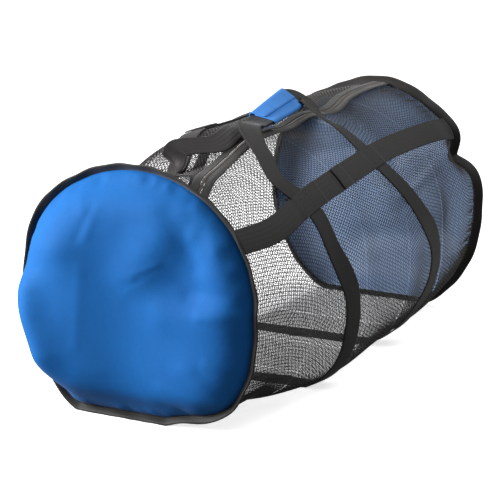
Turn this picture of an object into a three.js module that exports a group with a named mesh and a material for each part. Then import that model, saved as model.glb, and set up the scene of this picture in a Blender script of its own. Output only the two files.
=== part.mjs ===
// A barrel-shaped net bag for diving gear, zipped shut and lying on its side as if it were full.
// Millimetres, +Z up. +X runs from the near end panel to the far one, and the front side, with the
// front handle, faces -Y. The floor is z = 0. Angles go round the bag: 0 points to the front and 90 up.
import * as THREE from "three";

// Overall sizes
const BAG_LENGTH = 748; // from one end seam to the other
const BAG_WIDTH = 396; // of the round, over its binding
const BAG_HEIGHT = 385;

// Cloth, webbing and the clear gap that sewn pieces keep
const NET_WALL = 1.6;
const PANEL_WALL = 1.4;
const WEBBING_WIDTH = 38;
const WEBBING_THICK = 2;
const SEAM_GAP = 0.4;

// The bound seam that stands out round each end
const BINDING_WIDTH = 13;
const BINDING_THICK = 4.5;
const BINDING_LEAN = 45; // degrees from the bag's axis
const PANEL_RISE = 37; // how far an end panel swells past its seam
const SHOULDER = 10; // how sharply it turns down to the seam
const RIM_INSET = 0.6; // of a panel's rim inside the outside of the net

// The zip
const TAPE_WIDTH = 13;
const TAPE_THICK = 1.2;
const COIL_WIDTH = 5;
const COIL_THICK = 2.2;
const ZIP_OVERLAP = 6; // of a tape on the net
const SLIDER_WIDTH = 9;

// The wrap that holds the two handles together
const GRIP_LENGTH = 94;
const WRAP_THICK = 1.6;
const WRAP_EASE = 0.5; // between the wrap and the webbing in it
const GRIP_HEIGHT = 24; // of its middle over the top of the bag

const UNDERSIDE = WEBBING_THICK + SEAM_GAP; // the net lies this high, on the straps below it
const BINDING_REACH = (BINDING_WIDTH + SEAM_GAP) * Math.sin(THREE.MathUtils.degToRad(BINDING_LEAN));
const PRESSED = 0.021; // share of the height by which the floor flattens the round

// Cross sections from the near end to the far one. at is a share of the length. top, front and back
// are shares of the height and of half the width, corner is how square the lower half is, and lifted
// is how much of the binding's reach the underside stands off the floor.
const SECTIONS = [
  { at: 0.0, top: 0.962, front: 0.955, back: 0.975, corner: 2.8, lifted: 1 },
  { at: 0.12, top: 0.952, front: 1.0, back: 0.985, corner: 2.8, lifted: 0.1 },
  { at: 0.27, top: 0.99, front: 1.04, back: 1.01, corner: 2.8, lifted: 0 },
  { at: 0.43, top: 0.978, front: 1.09, back: 1.03, corner: 3.0, lifted: 0 },
  { at: 0.61, top: 0.968, front: 1.06, back: 1.01, corner: 3.0, lifted: 0 },
  { at: 0.8, top: 0.968, front: 1.02, back: 1.0, corner: 2.9, lifted: 0.1 },
  { at: 1.0, top: 0.985, front: 0.95, back: 0.955, corner: 2.3, lifted: 1 },
];

// Dents and, with a negative depth, swellings: where each is, how far it spreads along the bag (a share
// of the length) and round it (degrees), and its depth as a share of the height.
const DENTS = [
  { at: 0.12, angle: 113, along: 0.07, round: 34, depth: 0.066 },
  { at: 0.215, angle: 112, along: 0.085, round: 34, depth: 0.12 },
  { at: 0.12, angle: -66, along: 0.08, round: 26, depth: 0.03 },
  { at: 0.36, angle: -52, along: 0.16, round: 24, depth: -0.031 },
  { at: 0.2, angle: 12, along: 0.07, round: 16, depth: -0.014 },
  { at: 0.47, angle: 8, along: 0.07, round: 20, depth: 0.02 },
  { at: 0.62, angle: -14, along: 0.06, round: 16, depth: -0.016 },
  { at: 0.5, angle: 84, along: 0.07, round: 18, depth: 0.022 },
  { at: 0.86, angle: 4, along: 0.06, round: 18, depth: 0.022 },
  { at: 1.0, angle: 25, along: 0.05, round: 8, depth: 0.075 },
  { at: 1.0, angle: 112, along: 0.08, round: 24, depth: 0.03 },
  { at: 0.0, angle: 172, along: 0.07, round: 14, depth: 0.024 },
  { at: 1.0, angle: 55, along: 0.06, round: 28, depth: 0.022 },
  { at: 0.0, angle: -146, along: 0.07, round: 22, depth: 0.058 },
  { at: 0.0, angle: -68, along: 0.05, round: 17, depth: 0.049 },
];

// The angles of the zip and of the two side straps along the bag.
const LINES = [
  { at: 0.0, zip: 57, front: 29, back: 93 },
  { at: 0.12, zip: 68, front: 28, back: 98 },
  { at: 0.25, zip: 74, front: 33, back: 106 },
  { at: 0.4, zip: 77, front: 36.5, back: 113 },
  { at: 0.6, zip: 81, front: 40.5, back: 119 },
  { at: 0.68, zip: 77.5, front: 41.5, back: 121 },
  { at: 0.82, zip: 85, front: 41.5, back: 127 },
  { at: 1.0, zip: 86, front: 40, back: 130 },
];

// The straps that pass under the bag, as shares of the length at each angle, from the front side strap
// down the front, under the bag and up the back to the other one.
const BELTS = [
  { angle: 45, near: 0.2, far: 0.575 },
  { angle: 30, near: 0.258, far: 0.602 },
  { angle: 12, near: 0.276, far: 0.66 },
  { angle: -9, near: 0.338, far: 0.742 },
  { angle: -25, near: 0.352, far: 0.744 },
  { angle: -42, near: 0.355, far: 0.688 },
  { angle: -90, near: 0.34, far: 0.67 },
  { angle: -150, near: 0.29, far: 0.66 },
  { angle: -210, near: 0.23, far: 0.65 },
  { angle: -260, near: 0.17, far: 0.63 },
];

// Ridges and, with a negative height, hollows of the end panels, each along a line. across and up are
// shares of half the width and height from the middle, spread and height of the panel's rise.
const NEAR_FOLDS = [
  { across: [-0.84, -0.7], up: [-0.05, -0.5], spread: 1.1, height: 1.15 },
  { across: [-0.5, -0.42], up: [0.3, -0.55], spread: 2, height: 0.85 },
  { across: [0.42, 0.04], up: [0.52, 0.16], spread: 0.7, height: 0.34 },
  { across: [0.44, 0.32], up: [0.4, 0.08], spread: 0.75, height: -0.5 },
  { across: [0.3, 0.86], up: [-0.06, -0.02], spread: 0.55, height: 0.24 },
  { across: [0.55, 0.9], up: [0.08, 0.08], spread: 0.5, height: -0.28 },
  { across: [-0.45, 0.35], up: [0.86, 0.84], spread: 0.6, height: -0.42 },
  { across: [-0.85, -0.5], up: [0.28, 0.34], spread: 0.45, height: 0.2 },
  { across: [0.5, 0.72], up: [-0.5, -0.66], spread: 0.35, height: 0.16 },
  { across: [-0.6, 0.4], up: [-0.84, -0.9], spread: 0.5, height: -0.3 },
];
const FAR_FOLDS = [
  { across: [-0.5, 0.1], up: [0.45, -0.1], spread: 0.7, height: -0.3 },
  { across: [0.1, 0.6], up: [0.3, 0.62], spread: 0.6, height: 0.25 },
  { across: [-0.2, 0.5], up: [-0.5, -0.4], spread: 0.6, height: 0.2 },
];

// The free webbing of each handle: stations from the near belt to the wrap, and from the wrap to the
// far belt. away is the angle from the top edge of the handle's own side strap, as a share of the
// way to the zip, and lift a share of the grip's height. facing is the angle that the face looks to, and
// lean how far it leans to the far end.
const LEGS = {
  front: {
    near: [
      { at: 0.215, away: 0.28, lift: 0.3, facing: 45, lean: 0 },
      { at: 0.245, away: 0.55, lift: 0.45, facing: 52, lean: 0 },
      { at: 0.285, away: 0.82, lift: 0.5, facing: 62, lean: 0 },
      { at: 0.345, away: 1.1, lift: 0.55, facing: 74, lean: 0 },
    ],
    far: [
      { at: 0.6, away: 1.0, lift: 0.9, facing: 70, lean: 8 },
      { at: 0.574, away: 0.7, lift: 0.5, facing: 70, lean: 22 },
      { at: 0.57, away: 0.35, lift: 0.3, facing: 58, lean: 12 },
    ],
  },
  back: {
    near: [
      { at: 0.18, away: 0.12, lift: 1.3, facing: 70, lean: -20 },
      { at: 0.213, away: 0.3, lift: 1.25, facing: 62, lean: -10 },
      { at: 0.253, away: 0.66, lift: 0.5, facing: 62, lean: 0 },
      { at: 0.34, away: 0.7, lift: 0.2, facing: 78, lean: 0 },
    ],
    far: [
      { at: 0.64, away: 0.78, lift: 0.3, facing: 76, lean: 15 },
      { at: 0.645, away: 0.4, lift: 0.4, facing: 95, lean: 10 },
      { at: 0.638, away: 0.18, lift: 0.25, facing: 110, lean: 0 },
    ],
  },
};
// The wrap: where its middle is, how steeply it rises to its far end, how it is turned to the front at
// each end, and the shares of its length, from its middle, at which the handles lie in line with it.
const GRIP = { at: 0.515, angle: 85.5, rise: 10, tiltNear: 10, tiltFar: 33 };
const HELD = [-0.74, -0.52, -0.25, 0, 0.25, 0.52, 0.58];
const FOOT = 0.04; // how far, on the way from its strap to the zip, a leg starts

// How many facets each stretch of the grid has, along the bag and round it
const ROWS = { nearEnd: 6, belt: 2, middle: 7, farEnd: 8 };
const COLUMNS = { tape: 1, top: 3, strap: 2, front: 11, back: 13 };
const PANEL_RINGS = 8;
const RIBBON_STEPS = 5; // facets between two stations of a handle
const WRAP_STEPS = 8; // facets along the wrap

const DEG = Math.PI / 180;
const X = new THREE.Vector3(1, 0, 0);

// A smooth curve through the rows of a table: the value of one column at a given key.
function along(table, key, column, value) {
  const rising = table[table.length - 1][key] > table[0][key];
  const last = table.length - 2;
  let i = 0;
  while (i < last && (rising ? value > table[i + 1][key] : value < table[i + 1][key])) i++;
  const slope = (k) => {
    const a = table[Math.max(k - 1, 0)];
    const b = table[Math.min(k + 1, table.length - 1)];
    return (b[column] - a[column]) / (b[key] - a[key]);
  };
  const [from, to] = [table[i], table[i + 1]];
  const span = to[key] - from[key];
  const t = THREE.MathUtils.clamp((value - from[key]) / span, 0, 1);
  const bend = t * t * (3 - 2 * t);
  const pull = t * (1 - t) * span;
  const start = from[column] * (1 - bend) + to[column] * bend;
  return start + pull * ((1 - t) * slope(i) - t * slope(i + 1));
}

const turned = (degrees) => ((((degrees + 180) % 360) + 360) % 360) - 180;

// The outside of the net: a point at a share of the length and an angle.
function skin(at, angle) {
  const [top, front, back, corner] = ["top", "front", "back", "corner"].map((c) =>
    along(SECTIONS, "at", c, at),
  );
  const [c, s] = [Math.cos(angle * DEG), Math.sin(angle * DEG)];
  const middle = BAG_HEIGHT / 2;
  const across = ((c > 0 ? front : back) * BAG_WIDTH) / 2;
  const up = s > 0 ? top * BAG_HEIGHT - middle : middle + PRESSED * BAG_HEIGHT;
  const power = s > 0 ? 2 : corner;
  let radius = (Math.abs(c / across) ** power + Math.abs(s / up) ** power) ** (-1 / power);
  for (const d of DENTS) {
    const away = ((at - d.at) / d.along) ** 2 + (turned(angle - d.angle) / d.round) ** 2;
    radius -= d.depth * BAG_HEIGHT * Math.exp(-away);
  }
  const liftedShare = Math.max(along(SECTIONS, "at", "lifted", at), 0);
  const floor = THREE.MathUtils.lerp(UNDERSIDE, BINDING_REACH, liftedShare);
  const z = Math.max(middle + radius * s, floor);
  return new THREE.Vector3((at - 0.5) * BAG_LENGTH, -radius * c, z);
}

// The direction straight out of the net there.
function outward(at, angle) {
  const step = 0.004; // share of the length
  const turn = 1.5; // degrees
  const lengthwise = skin(Math.min(at + step, 1), angle).sub(skin(Math.max(at - step, 0), angle));
  const round = skin(at, angle + turn).sub(skin(at, angle - turn));
  return lengthwise.cross(round).normalize();
}

const lifted = (at, angle, lift) => skin(at, angle).addScaledVector(outward(at, angle), lift);

// Degrees that a width covers on the net.
function degreesOf(width, at, angle) {
  const p = skin(at, angle);
  return width / Math.hypot(p.y, p.z - BAG_HEIGHT / 2) / DEG;
}

// The grid that the net and all that is sewn on it share. A row number goes along the bag and a column
// number round it, from the zip down the front, under the bag and up the back to the zip. Rows and
// columns fall on the edges of the straps.
const tapeHalf = COIL_WIDTH / 2 + SEAM_GAP + TAPE_WIDTH;
const slotHalf = tapeHalf - ZIP_OVERLAP;
const sums = (counts) => [0, ...counts].map((_, i) => counts.slice(0, i).reduce((a, b) => a + b, 0));
const { tape, top, strap, front, back } = COLUMNS;
const EDGES = sums([tape, top, strap, front, back, strap, top, tape]);
const STEPS = sums([ROWS.nearEnd, ROWS.belt, ROWS.middle, ROWS.belt, ROWS.farEnd]);
const LAST_ROW = STEPS[STEPS.length - 1];
const LAST_COLUMN = EDGES[EDGES.length - 1];
const FRONT_STRAP = EDGES[2]; // the first column of each side strap
const BACK_STRAP = EDGES[5];

function between(numbers, values, number) {
  let i = 0;
  while (i < numbers.length - 2 && number > numbers[i + 1]) i++;
  const t = (number - numbers[i]) / (numbers[i + 1] - numbers[i]);
  return values[i] + t * (values[i + 1] - values[i]);
}

function angleOf(column, at) {
  const [zip, front, back] = ["zip", "front", "back"].map((c) => along(LINES, "at", c, at));
  const slot = degreesOf(slotHalf, at, zip);
  const tapeEnd = degreesOf(tapeHalf, at, zip);
  const frontHalf = degreesOf(WEBBING_WIDTH / 2, at, front);
  const backHalf = degreesOf(WEBBING_WIDTH / 2, at, back);
  const round = back - 360;
  const angles = [zip - slot, zip - tapeEnd, front + frontHalf, front - frontHalf, -90];
  angles.push(round + backHalf, round - backHalf, zip - 360 + tapeEnd, zip - 360 + slot);
  return between(EDGES, angles, column);
}

function shareOf(row, angle) {
  const half = WEBBING_WIDTH / 2 / BAG_LENGTH;
  const near = along(BELTS, "angle", "near", angle);
  const far = along(BELTS, "angle", "far", angle);
  return between(STEPS, [0, near - half, near + half, far - half, far + half, 1], row);
}

// The share of the length and the angle at a row and column.
function spot(row, column) {
  const roughly = angleOf(column, row / LAST_ROW);
  const at = shareOf(row, roughly);
  return [at, angleOf(column, at)];
}

// The lifted point there. Between two rows it lies on the straight line from one to the next.
function sewn(row, column, lift) {
  const [before, after] = [Math.floor(row), Math.ceil(row)].map((r) => lifted(...spot(r, column), lift));
  return before.lerp(after, row - Math.floor(row));
}

// A solid from a list of points and faces. It is turned inside out if its volume is negative.
function solid(points, faces) {
  const triangles = faces.flatMap(([a, b, c, d]) => (d === undefined ? [[a, b, c]] : [[a, b, c], [a, c, d]]));
  const volume = triangles.reduce(
    (sum, [a, b, c]) => sum + points[a].dot(points[b].clone().cross(points[c])),
    0,
  );
  const order = volume < 0 ? triangles.map(([a, b, c]) => [a, c, b]) : triangles;
  const geometry = new THREE.BufferGeometry();
  geometry.setAttribute("position", new THREE.Float32BufferAttribute(points.flatMap((p) => p.toArray()), 3));
  geometry.setIndex(order.flat());
  geometry.computeVertexNormals();
  return geometry;
}

// Two like sheets of rows by columns points, joined along their edges. A closed sheet meets itself
// after its last column, and has edges only at its first and last rows.
function wall(outer, inner, closed = false) {
  const [rows, columns] = [outer.length, outer[0].length];
  const points = [...outer.flat(), ...inner.flat()];
  const o = (i, j) => i * columns + (j % columns);
  const n = (i, j) => rows * columns + o(i, j);
  const faces = [];
  const last = closed ? columns : columns - 1;
  for (let i = 0; i < rows - 1; i++) {
    for (let j = 0; j < last; j++) {
      faces.push([o(i, j), o(i + 1, j), o(i + 1, j + 1), o(i, j + 1)]);
      faces.push([n(i, j), n(i, j + 1), n(i + 1, j + 1), n(i + 1, j)]);
    }
    if (closed) continue;
    faces.push([o(i, 0), n(i, 0), n(i + 1, 0), o(i + 1, 0)]);
    faces.push([o(i, last), o(i + 1, last), n(i + 1, last), n(i, last)]);
  }
  for (let j = 0; j < last; j++) {
    faces.push([o(0, j), o(0, j + 1), n(0, j + 1), n(0, j)]);
    faces.push([o(rows - 1, j), n(rows - 1, j), n(rows - 1, j + 1), o(rows - 1, j + 1)]);
  }
  return solid(points, faces);
}

const numbers = (from, to, step = 1) => {
  const count = Math.round((to - from) / step);
  return Array.from({ length: count + 1 }, (_, i) => from + i * step);
};

// A strip sewn on the net over a stretch of rows and columns. lift may change from row to row.
function strip(rows, columns, lift, thick) {
  const sheet = (more) =>
    rows.map((r) => columns.map((c) => sewn(r, c, (typeof lift === "function" ? lift(r) : lift) + more)));
  return wall(sheet(thick), sheet(0));
}

// Materials
const cloth = (color, roughness) => new THREE.MeshStandardMaterial({ color, roughness, metalness: 0 });
const NET = cloth("#2b2927", 0.8);
const WEBBING = cloth("#2e2b28", 0.7);
const NYLON = cloth("#2f76c8", 0.6);
const COIL = cloth("#55524f", 0.5);
const ENAMEL = new THREE.MeshStandardMaterial({ color: "#1c1b1a", roughness: 0.4, metalness: 0.6 });

const bag = new THREE.Group();
function add(name, geometry, material) {
  const mesh = new THREE.Mesh(geometry, material);
  mesh.name = name;
  bag.add(mesh);
  return mesh;
}

// The net: one sheet round the bag, open at both ends and along the zip.
const allRows = numbers(0, LAST_ROW);
const allColumns = numbers(0, LAST_COLUMN);
add("net_body", strip(allRows, allColumns, -NET_WALL, NET_WALL), NET);

// The angles round an end: those of the net's columns, and one in the middle of the zip.
const roundAngles = (end) => [
  ...allColumns.map((column) => angleOf(column, end)),
  along(LINES, "at", "zip", end) - 360,
];

// An end panel of nylon: a round of cloth that swells outwards and is creased by its folds. side is -1
// at the near end and 1 at the far one.
function endPanel(side, folds) {
  const end = side < 0 ? 0 : 1;
  const middle = new THREE.Vector3(0, 0, BAG_HEIGHT / 2);
  const swell = (p, ring) => {
    let rise = 1 - ring ** SHOULDER;
    for (const f of folds) {
      const from = new THREE.Vector2((-f.across[0] * BAG_WIDTH) / 2, (f.up[0] * BAG_HEIGHT) / 2);
      const to = new THREE.Vector2((-f.across[1] * BAG_WIDTH) / 2, (f.up[1] * BAG_HEIGHT) / 2);
      const here = new THREE.Vector2(p.y, p.z - middle.z);
      const run = to.clone().sub(from);
      const t = THREE.MathUtils.clamp(here.clone().sub(from).dot(run) / run.lengthSq(), 0, 1);
      const off = here.distanceTo(from.addScaledVector(run, t)) / (f.spread * PANEL_RISE);
      rise += f.height * Math.exp(-off * off) * (1 - ring ** SHOULDER);
    }
    return rise * PANEL_RISE;
  };
  const seat = side * (BAG_LENGTH / 2 + SEAM_GAP);
  const rim = roundAngles(end).map((angle) => {
    const p = skin(end, angle);
    const out = new THREE.Vector3(0, p.y, p.z - middle.z).normalize();
    return p.addScaledVector(out, -RIM_INSET);
  });
  const sheet = (thick) => {
    const point = (edge, ring) => {
      const p = new THREE.Vector3(0, edge.y, edge.z).lerp(middle, 1 - ring);
      p.x = seat + side * (thick + swell(p, ring));
      return p;
    };
    const rings = numbers(1, PANEL_RINGS).map((k) => rim.map((edge) => point(edge, k / PANEL_RINGS)));
    return { centre: point(middle, 0), rings };
  };
  const [outer, inner] = [sheet(PANEL_WALL), sheet(0)];
  const points = [outer.centre, ...outer.rings.flat(), inner.centre, ...inner.rings.flat()];
  const count = rim.length;
  const half = 1 + count * PANEL_RINGS;
  const o = (ring, j) => 1 + ring * count + (j % count);
  const n = (ring, j) => half + o(ring, j);
  const faces = [];
  for (let j = 0; j < count; j++) {
    faces.push([0, o(0, j), o(0, j + 1)], [half, n(0, j + 1), n(0, j)]);
    for (let k = 0; k < PANEL_RINGS - 1; k++) {
      faces.push([o(k, j), o(k + 1, j), o(k + 1, j + 1), o(k, j + 1)]);
      faces.push([n(k, j), n(k, j + 1), n(k + 1, j + 1), n(k + 1, j)]);
    }
    const k = PANEL_RINGS - 1;
    faces.push([o(k, j), n(k, j), n(k, j + 1), o(k, j + 1)]);
  }
  return solid(points, faces);
}

// The binding: a folded tape round the end seam that leans outwards, pressed flat where it stands on
// the floor.
function binding(side) {
  const end = side < 0 ? 0 : 1;
  const [w, t] = [BINDING_WIDTH, BINDING_THICK / 2];
  const [bevel, lean] = [t, BINDING_LEAN * DEG];
  const section = [[0, 0], [bevel, t], [w - bevel, t], [w, 0], [w - bevel, -t], [bevel, -t]];
  const nearby = 2; // degrees
  const loops = roundAngles(end).map((angle) => {
    const seam = skin(end, angle);
    const [before, after] = [skin(end, angle - nearby), skin(end, angle + nearby)];
    const radial = after.sub(before).cross(X).normalize();
    if (radial.dot(new THREE.Vector3(0, seam.y, seam.z - BAG_HEIGHT / 2)) < 0) radial.negate();
    const out = radial.clone().multiplyScalar(Math.sin(lean)).addScaledVector(X, side * Math.cos(lean));
    const over = radial.clone().multiplyScalar(Math.cos(lean)).addScaledVector(X, -side * Math.sin(lean));
    return section.map(([reach, rise]) => {
      const p = seam.clone().addScaledVector(out, SEAM_GAP + reach).addScaledVector(over, rise);
      p.z = Math.max(p.z, 0);
      return p;
    });
  });
  const count = section.length;
  const faces = loops.flatMap((_, i) =>
    section.map((__, j) => {
      const [a, b] = [i * count, ((i + 1) % loops.length) * count];
      return [a + j, b + j, b + ((j + 1) % count), a + ((j + 1) % count)];
    }),
  );
  return solid(loops.flat(), faces);
}

for (const [name, side, folds] of [["near", -1, NEAR_FOLDS], ["far", 1, FAR_FOLDS]]) {
  add(`end_panel_${name}`, endPanel(side, folds), NYLON);
  add(`binding_${name}`, binding(side), WEBBING);
}

// The zip: two woven tapes on the edges of the net, and the coil between them.
const START = 0.06; // rows that a strip keeps clear of the end bindings
const fullRows = [START, ...numbers(1, LAST_ROW - 1), LAST_ROW - START];
const tapeEdge = COIL_WIDTH / 2 + SEAM_GAP;
function zipStrip(columnsAt, lift, thick) {
  const sheet = (height) =>
    fullRows.map((row) => {
      const at = (spot(row, 0)[0] + spot(row, LAST_COLUMN)[0]) / 2;
      return columnsAt(row, at, along(LINES, "at", "zip", at), height);
    });
  return wall(sheet(lift + thick), sheet(lift));
}
const tapes = { front: [0, tape, -1], back: [LAST_COLUMN, LAST_COLUMN - tape, 1] };
for (const [name, [inner, outer, way]] of Object.entries(tapes)) {
  const points = (row, at, zip, height) => [
    sewn(row, outer, height),
    sewn(row, inner, height),
    lifted(at, zip + way * degreesOf(tapeEdge, at, zip), height),
  ];
  add(`zip_tape_${name}`, zipStrip(points, 2 * SEAM_GAP, TAPE_THICK), WEBBING);
}
const coilPoints = (_, at, zip, height) =>
  [-1, 0, 1].map((side) => lifted(at, zip + side * degreesOf(COIL_WIDTH / 2, at, zip), height));
add("zip_coil", zipStrip(coilPoints, 0, COIL_THICK), COIL);

// Two sliders meet under the front handle, where nobody sees them: each a plain body and pull in one piece.
const SLIDER = { at: 0.385, body: 11, apart: 13, height: 3.6, pull: 20, pullThick: 1.4 };
for (const [name, heading] of [["near", -1], ["far", 1]]) {
  const at = SLIDER.at + (heading * SLIDER.apart) / 2 / BAG_LENGTH;
  const zip = along(LINES, "at", "zip", at);
  const [end, tip] = [SLIDER.body, SLIDER.body + SLIDER.pull];
  const outline = [[0, 0], [end, 0], [end, SLIDER.height - SLIDER.pullThick]];
  outline.push([tip, SLIDER.height - SLIDER.pullThick], [tip, SLIDER.height], [0, SLIDER.height]);
  const profile = new THREE.Shape(outline.map(([x, y]) => new THREE.Vector2(x - end / 2, y)));
  const geometry = new THREE.ExtrudeGeometry(profile, { depth: SLIDER_WIDTH, bevelEnabled: false });
  geometry.translate(0, 0, -SLIDER_WIDTH / 2);
  const up = outward(at, zip);
  const ahead = X.clone().multiplyScalar(heading).addScaledVector(up, -heading * X.dot(up)).normalize();
  const slider = add(`zip_slider_${name}`, geometry, ENAMEL);
  slider.setRotationFromMatrix(new THREE.Matrix4().makeBasis(ahead, up, ahead.clone().cross(up)));
  slider.position.copy(lifted(at, zip, COIL_THICK + SEAM_GAP));
}

// The belts: webbing that passes under the bag from one side strap to the other.
const stack = WEBBING_THICK + SEAM_GAP; // one layer of webbing and its gap
const beltRows = { near: numbers(STEPS[1], STEPS[2]), far: numbers(STEPS[3], STEPS[4]) };
for (const [name, rows] of Object.entries(beltRows)) {
  const columns = numbers(FRONT_STRAP, BACK_STRAP + strap);
  add(`belt_${name}`, strip(rows, columns, SEAM_GAP, WEBBING_THICK), WEBBING);
}

// The side straps: a near and a far length that lie over the belts, and a short one between them whose
// ends are sewn under theirs.
const LAP = 1; // rows that two lengths overlap
const MIDDLE_ROWS = 4; // of the short length, from the near belt
const CLEAR = 0.15; // rows between a strap's end and the step of another over it
const onBelt = (row) =>
  [beltRows.near, beltRows.far].some((rows) => row >= rows[0] - 0.01 && row <= rows[rows.length - 1] + 0.01);
const joint = { near: STEPS[2] + LAP, far: STEPS[2] + MIDDLE_ROWS };
const onMiddle = (row) => row >= STEPS[2] && row <= joint.near;
const onMiddleFar = (row) => row >= joint.far - LAP && row <= joint.far;
for (const [name, first] of [["front", FRONT_STRAP], ["back", BACK_STRAP]]) {
  const columns = numbers(first, first + strap);
  const over = (row) => SEAM_GAP + (onBelt(row) || onMiddle(row) || onMiddleFar(row) ? stack : 0);
  const near = [START, ...numbers(1, STEPS[2]), STEPS[2] + CLEAR, joint.near];
  const middle = [STEPS[2] + CLEAR, ...numbers(joint.near, joint.far)];
  const far = [...numbers(joint.far - LAP, joint.far), joint.far + CLEAR];
  far.push(...numbers(joint.far + 1, LAST_ROW - 1), LAST_ROW - START);
  add(`side_strap_${name}_near`, strip(near, columns, over, WEBBING_THICK), WEBBING);
  add(`side_strap_${name}_middle`, strip(middle, columns, SEAM_GAP, WEBBING_THICK), WEBBING);
  add(`side_strap_${name}_far`, strip(far, columns, over, WEBBING_THICK), WEBBING);
}

// The frame of the wrap at a share of its length from its middle: its middle line, the way across it and
// the way out of its upper face. It is turned further towards the front at its far end.
const gripMiddle = skin(GRIP.at, GRIP.angle).setZ(skin(GRIP.at, 90).z + GRIP_HEIGHT);
const gripAxis = new THREE.Vector3(Math.cos(GRIP.rise * DEG), 0, Math.sin(GRIP.rise * DEG));
function gripFrame(share) {
  const tilt = THREE.MathUtils.lerp(GRIP.tiltNear, GRIP.tiltFar, share + 0.5) * DEG;
  const across = new THREE.Vector3(0, Math.cos(tilt), Math.sin(tilt));
  across.addScaledVector(gripAxis, -across.dot(gripAxis)).normalize();
  const middle = gripMiddle.clone().addScaledVector(gripAxis, share * GRIP_LENGTH);
  return { middle, across, face: gripAxis.clone().cross(across) };
}

// A length of webbing through a list of frames, each with a middle, a way across and a face.
function ribbon(frames) {
  const curve = (key) => new THREE.CatmullRomCurve3(frames.map((f) => f[key]), false, "centripetal");
  const [path, across, face] = ["middle", "across", "face"].map(curve);
  const count = (frames.length - 1) * RIBBON_STEPS;
  const edge = (side, height) => (_, i) => {
    const t = i / count;
    const [out, wide] = [face.getPoint(t).normalize(), across.getPoint(t)];
    wide.addScaledVector(out, -wide.dot(out)).normalize();
    const p = path.getPoint(t);
    return p.addScaledVector(wide, (side * WEBBING_WIDTH) / 2).addScaledVector(out, height);
  };
  const steps = Array.from({ length: count + 1 });
  const sheet = (height) => {
    const [left, right] = [-1, 1].map((side) => steps.map(edge(side, height)));
    return left.map((p, i) => [p, right[i]]);
  };
  return wall(sheet(WEBBING_THICK / 2), sheet(-WEBBING_THICK / 2));
}

// The handles: each a loop of webbing from the near belt through the wrap to the far belt. The front
// one lies on top of the back one in the wrap.
function handle(side) {
  const facing = side === "front" ? 1 : -1;
  const strapEdge = (at) => {
    const middle = along(LINES, "at", side, at);
    return middle + facing * degreesOf(WEBBING_WIDTH / 2 + SEAM_GAP, at, middle);
  };
  const station = (at, away, lift) => {
    const edge = strapEdge(at);
    return lifted(at, edge + away * (along(LINES, "at", "zip", at) - edge), lift);
  };
  // A leg starts along the edge of its strap, and leans as the strap does there.
  const foot = (belt, way) => {
    const column = side === "front" ? FRONT_STRAP : BACK_STRAP + strap;
    const [at] = spot((belt[0] + belt[belt.length - 1]) / 2, column);
    const half = WEBBING_WIDTH / 2 / BAG_LENGTH;
    const [before, after] = [at - half, at + half].map((share) => station(share, FOOT, stack));
    const across = after.clone().sub(before).normalize().multiplyScalar(-way * facing);
    return { middle: after.lerp(before, 0.5), across, face: outward(at, strapEdge(at)) };
  };
  const free = ({ at, away, lift, facing: angle, lean }) => ({
    middle: station(at, away, stack + lift * GRIP_HEIGHT),
    out: new THREE.Vector3(
      Math.sin(lean * DEG),
      -Math.cos(angle * DEG) * Math.cos(lean * DEG),
      Math.sin(angle * DEG) * Math.cos(lean * DEG),
    ),
  });
  const { near, far } = LEGS[side];
  const up = [foot(beltRows.near, 1), ...near.map(free)];
  const down = [...far.map(free), foot(beltRows.far, -1)];
  const layer = (facing * (WEBBING_THICK + SEAM_GAP)) / 2;
  const held = HELD.map((share) => {
    const frame = gripFrame(share);
    frame.middle.addScaledVector(frame.face, layer);
    return frame;
  });
  const frames = [...up, ...held, ...down];
  const framed = frames.map((frame, i) => {
    if (!frame.out) return frame;
    const ahead = frames[i + 1].middle.clone().sub(frames[i - 1].middle).normalize();
    const face = frame.out.clone().addScaledVector(ahead, -frame.out.dot(ahead)).normalize();
    return { middle: frame.middle, across: face.clone().cross(ahead), face };
  });
  return ribbon(framed);
}
for (const side of ["front", "back"]) add(`handle_${side}`, handle(side), WEBBING);

// The wrap: a strip of nylon wound once and a third round the two handles, with its end on top. Its
// line is in the wrap's own section, in shares of the straight stretch and degrees.
function wrapLine() {
  const clear = WEBBING_THICK + SEAM_GAP / 2 + WRAP_EASE; // from the middle of the two handles
  const corner = WEBBING_THICK + SEAM_GAP / 2;
  const straight = WEBBING_WIDTH / 2 - Math.sqrt(clear ** 2 - corner ** 2) + 2 * SEAM_GAP;
  const winding = WRAP_THICK + SEAM_GAP;
  const part = 0.25; // of the straight stretch, from one point to the next
  const bend = 45; // degrees from one point to the next
  const flat = (from, to, height) =>
    numbers(from, to, Math.sign(to - from) * part).map((x) => [x * straight, height]);
  const turn = (from, to, middle, reach) =>
    numbers(from, to, bend).map((a) => [middle + reach(a) * Math.cos(a * DEG), reach(a) * Math.sin(a * DEG)]);
  const growing = (a) => clear + ((a + 90) / 180) * winding;
  const line = [
    ...flat(0.75, -0.75, clear),
    ...turn(90, 270, -straight, () => clear),
    ...flat(-0.5, 0.5, -clear),
    ...turn(-90, 90, straight, growing),
    ...flat(0.5, -0.25, clear + winding),
  ];
  return line.map(([x, y]) => new THREE.Vector2(x, y));
}
function gripWrap() {
  const line = wrapLine();
  const sheet = (height) =>
    numbers(-0.5, 0.5, 1 / WRAP_STEPS).map((share) => {
      const { middle, across, face } = gripFrame(share);
      return line.map((p, i) => {
        const way = (line[i + 1] ?? p).clone().sub(line[i - 1] ?? p);
        const out = new THREE.Vector2(way.y, -way.x).normalize().multiplyScalar(height);
        const [x, y] = [p.x + out.x, p.y + out.y];
        return middle.clone().addScaledVector(across, x).addScaledVector(face, y);
      });
    });
  return wall(sheet(WRAP_THICK), sheet(0));
}
add("grip_wrap", gripWrap(), NYLON);

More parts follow.
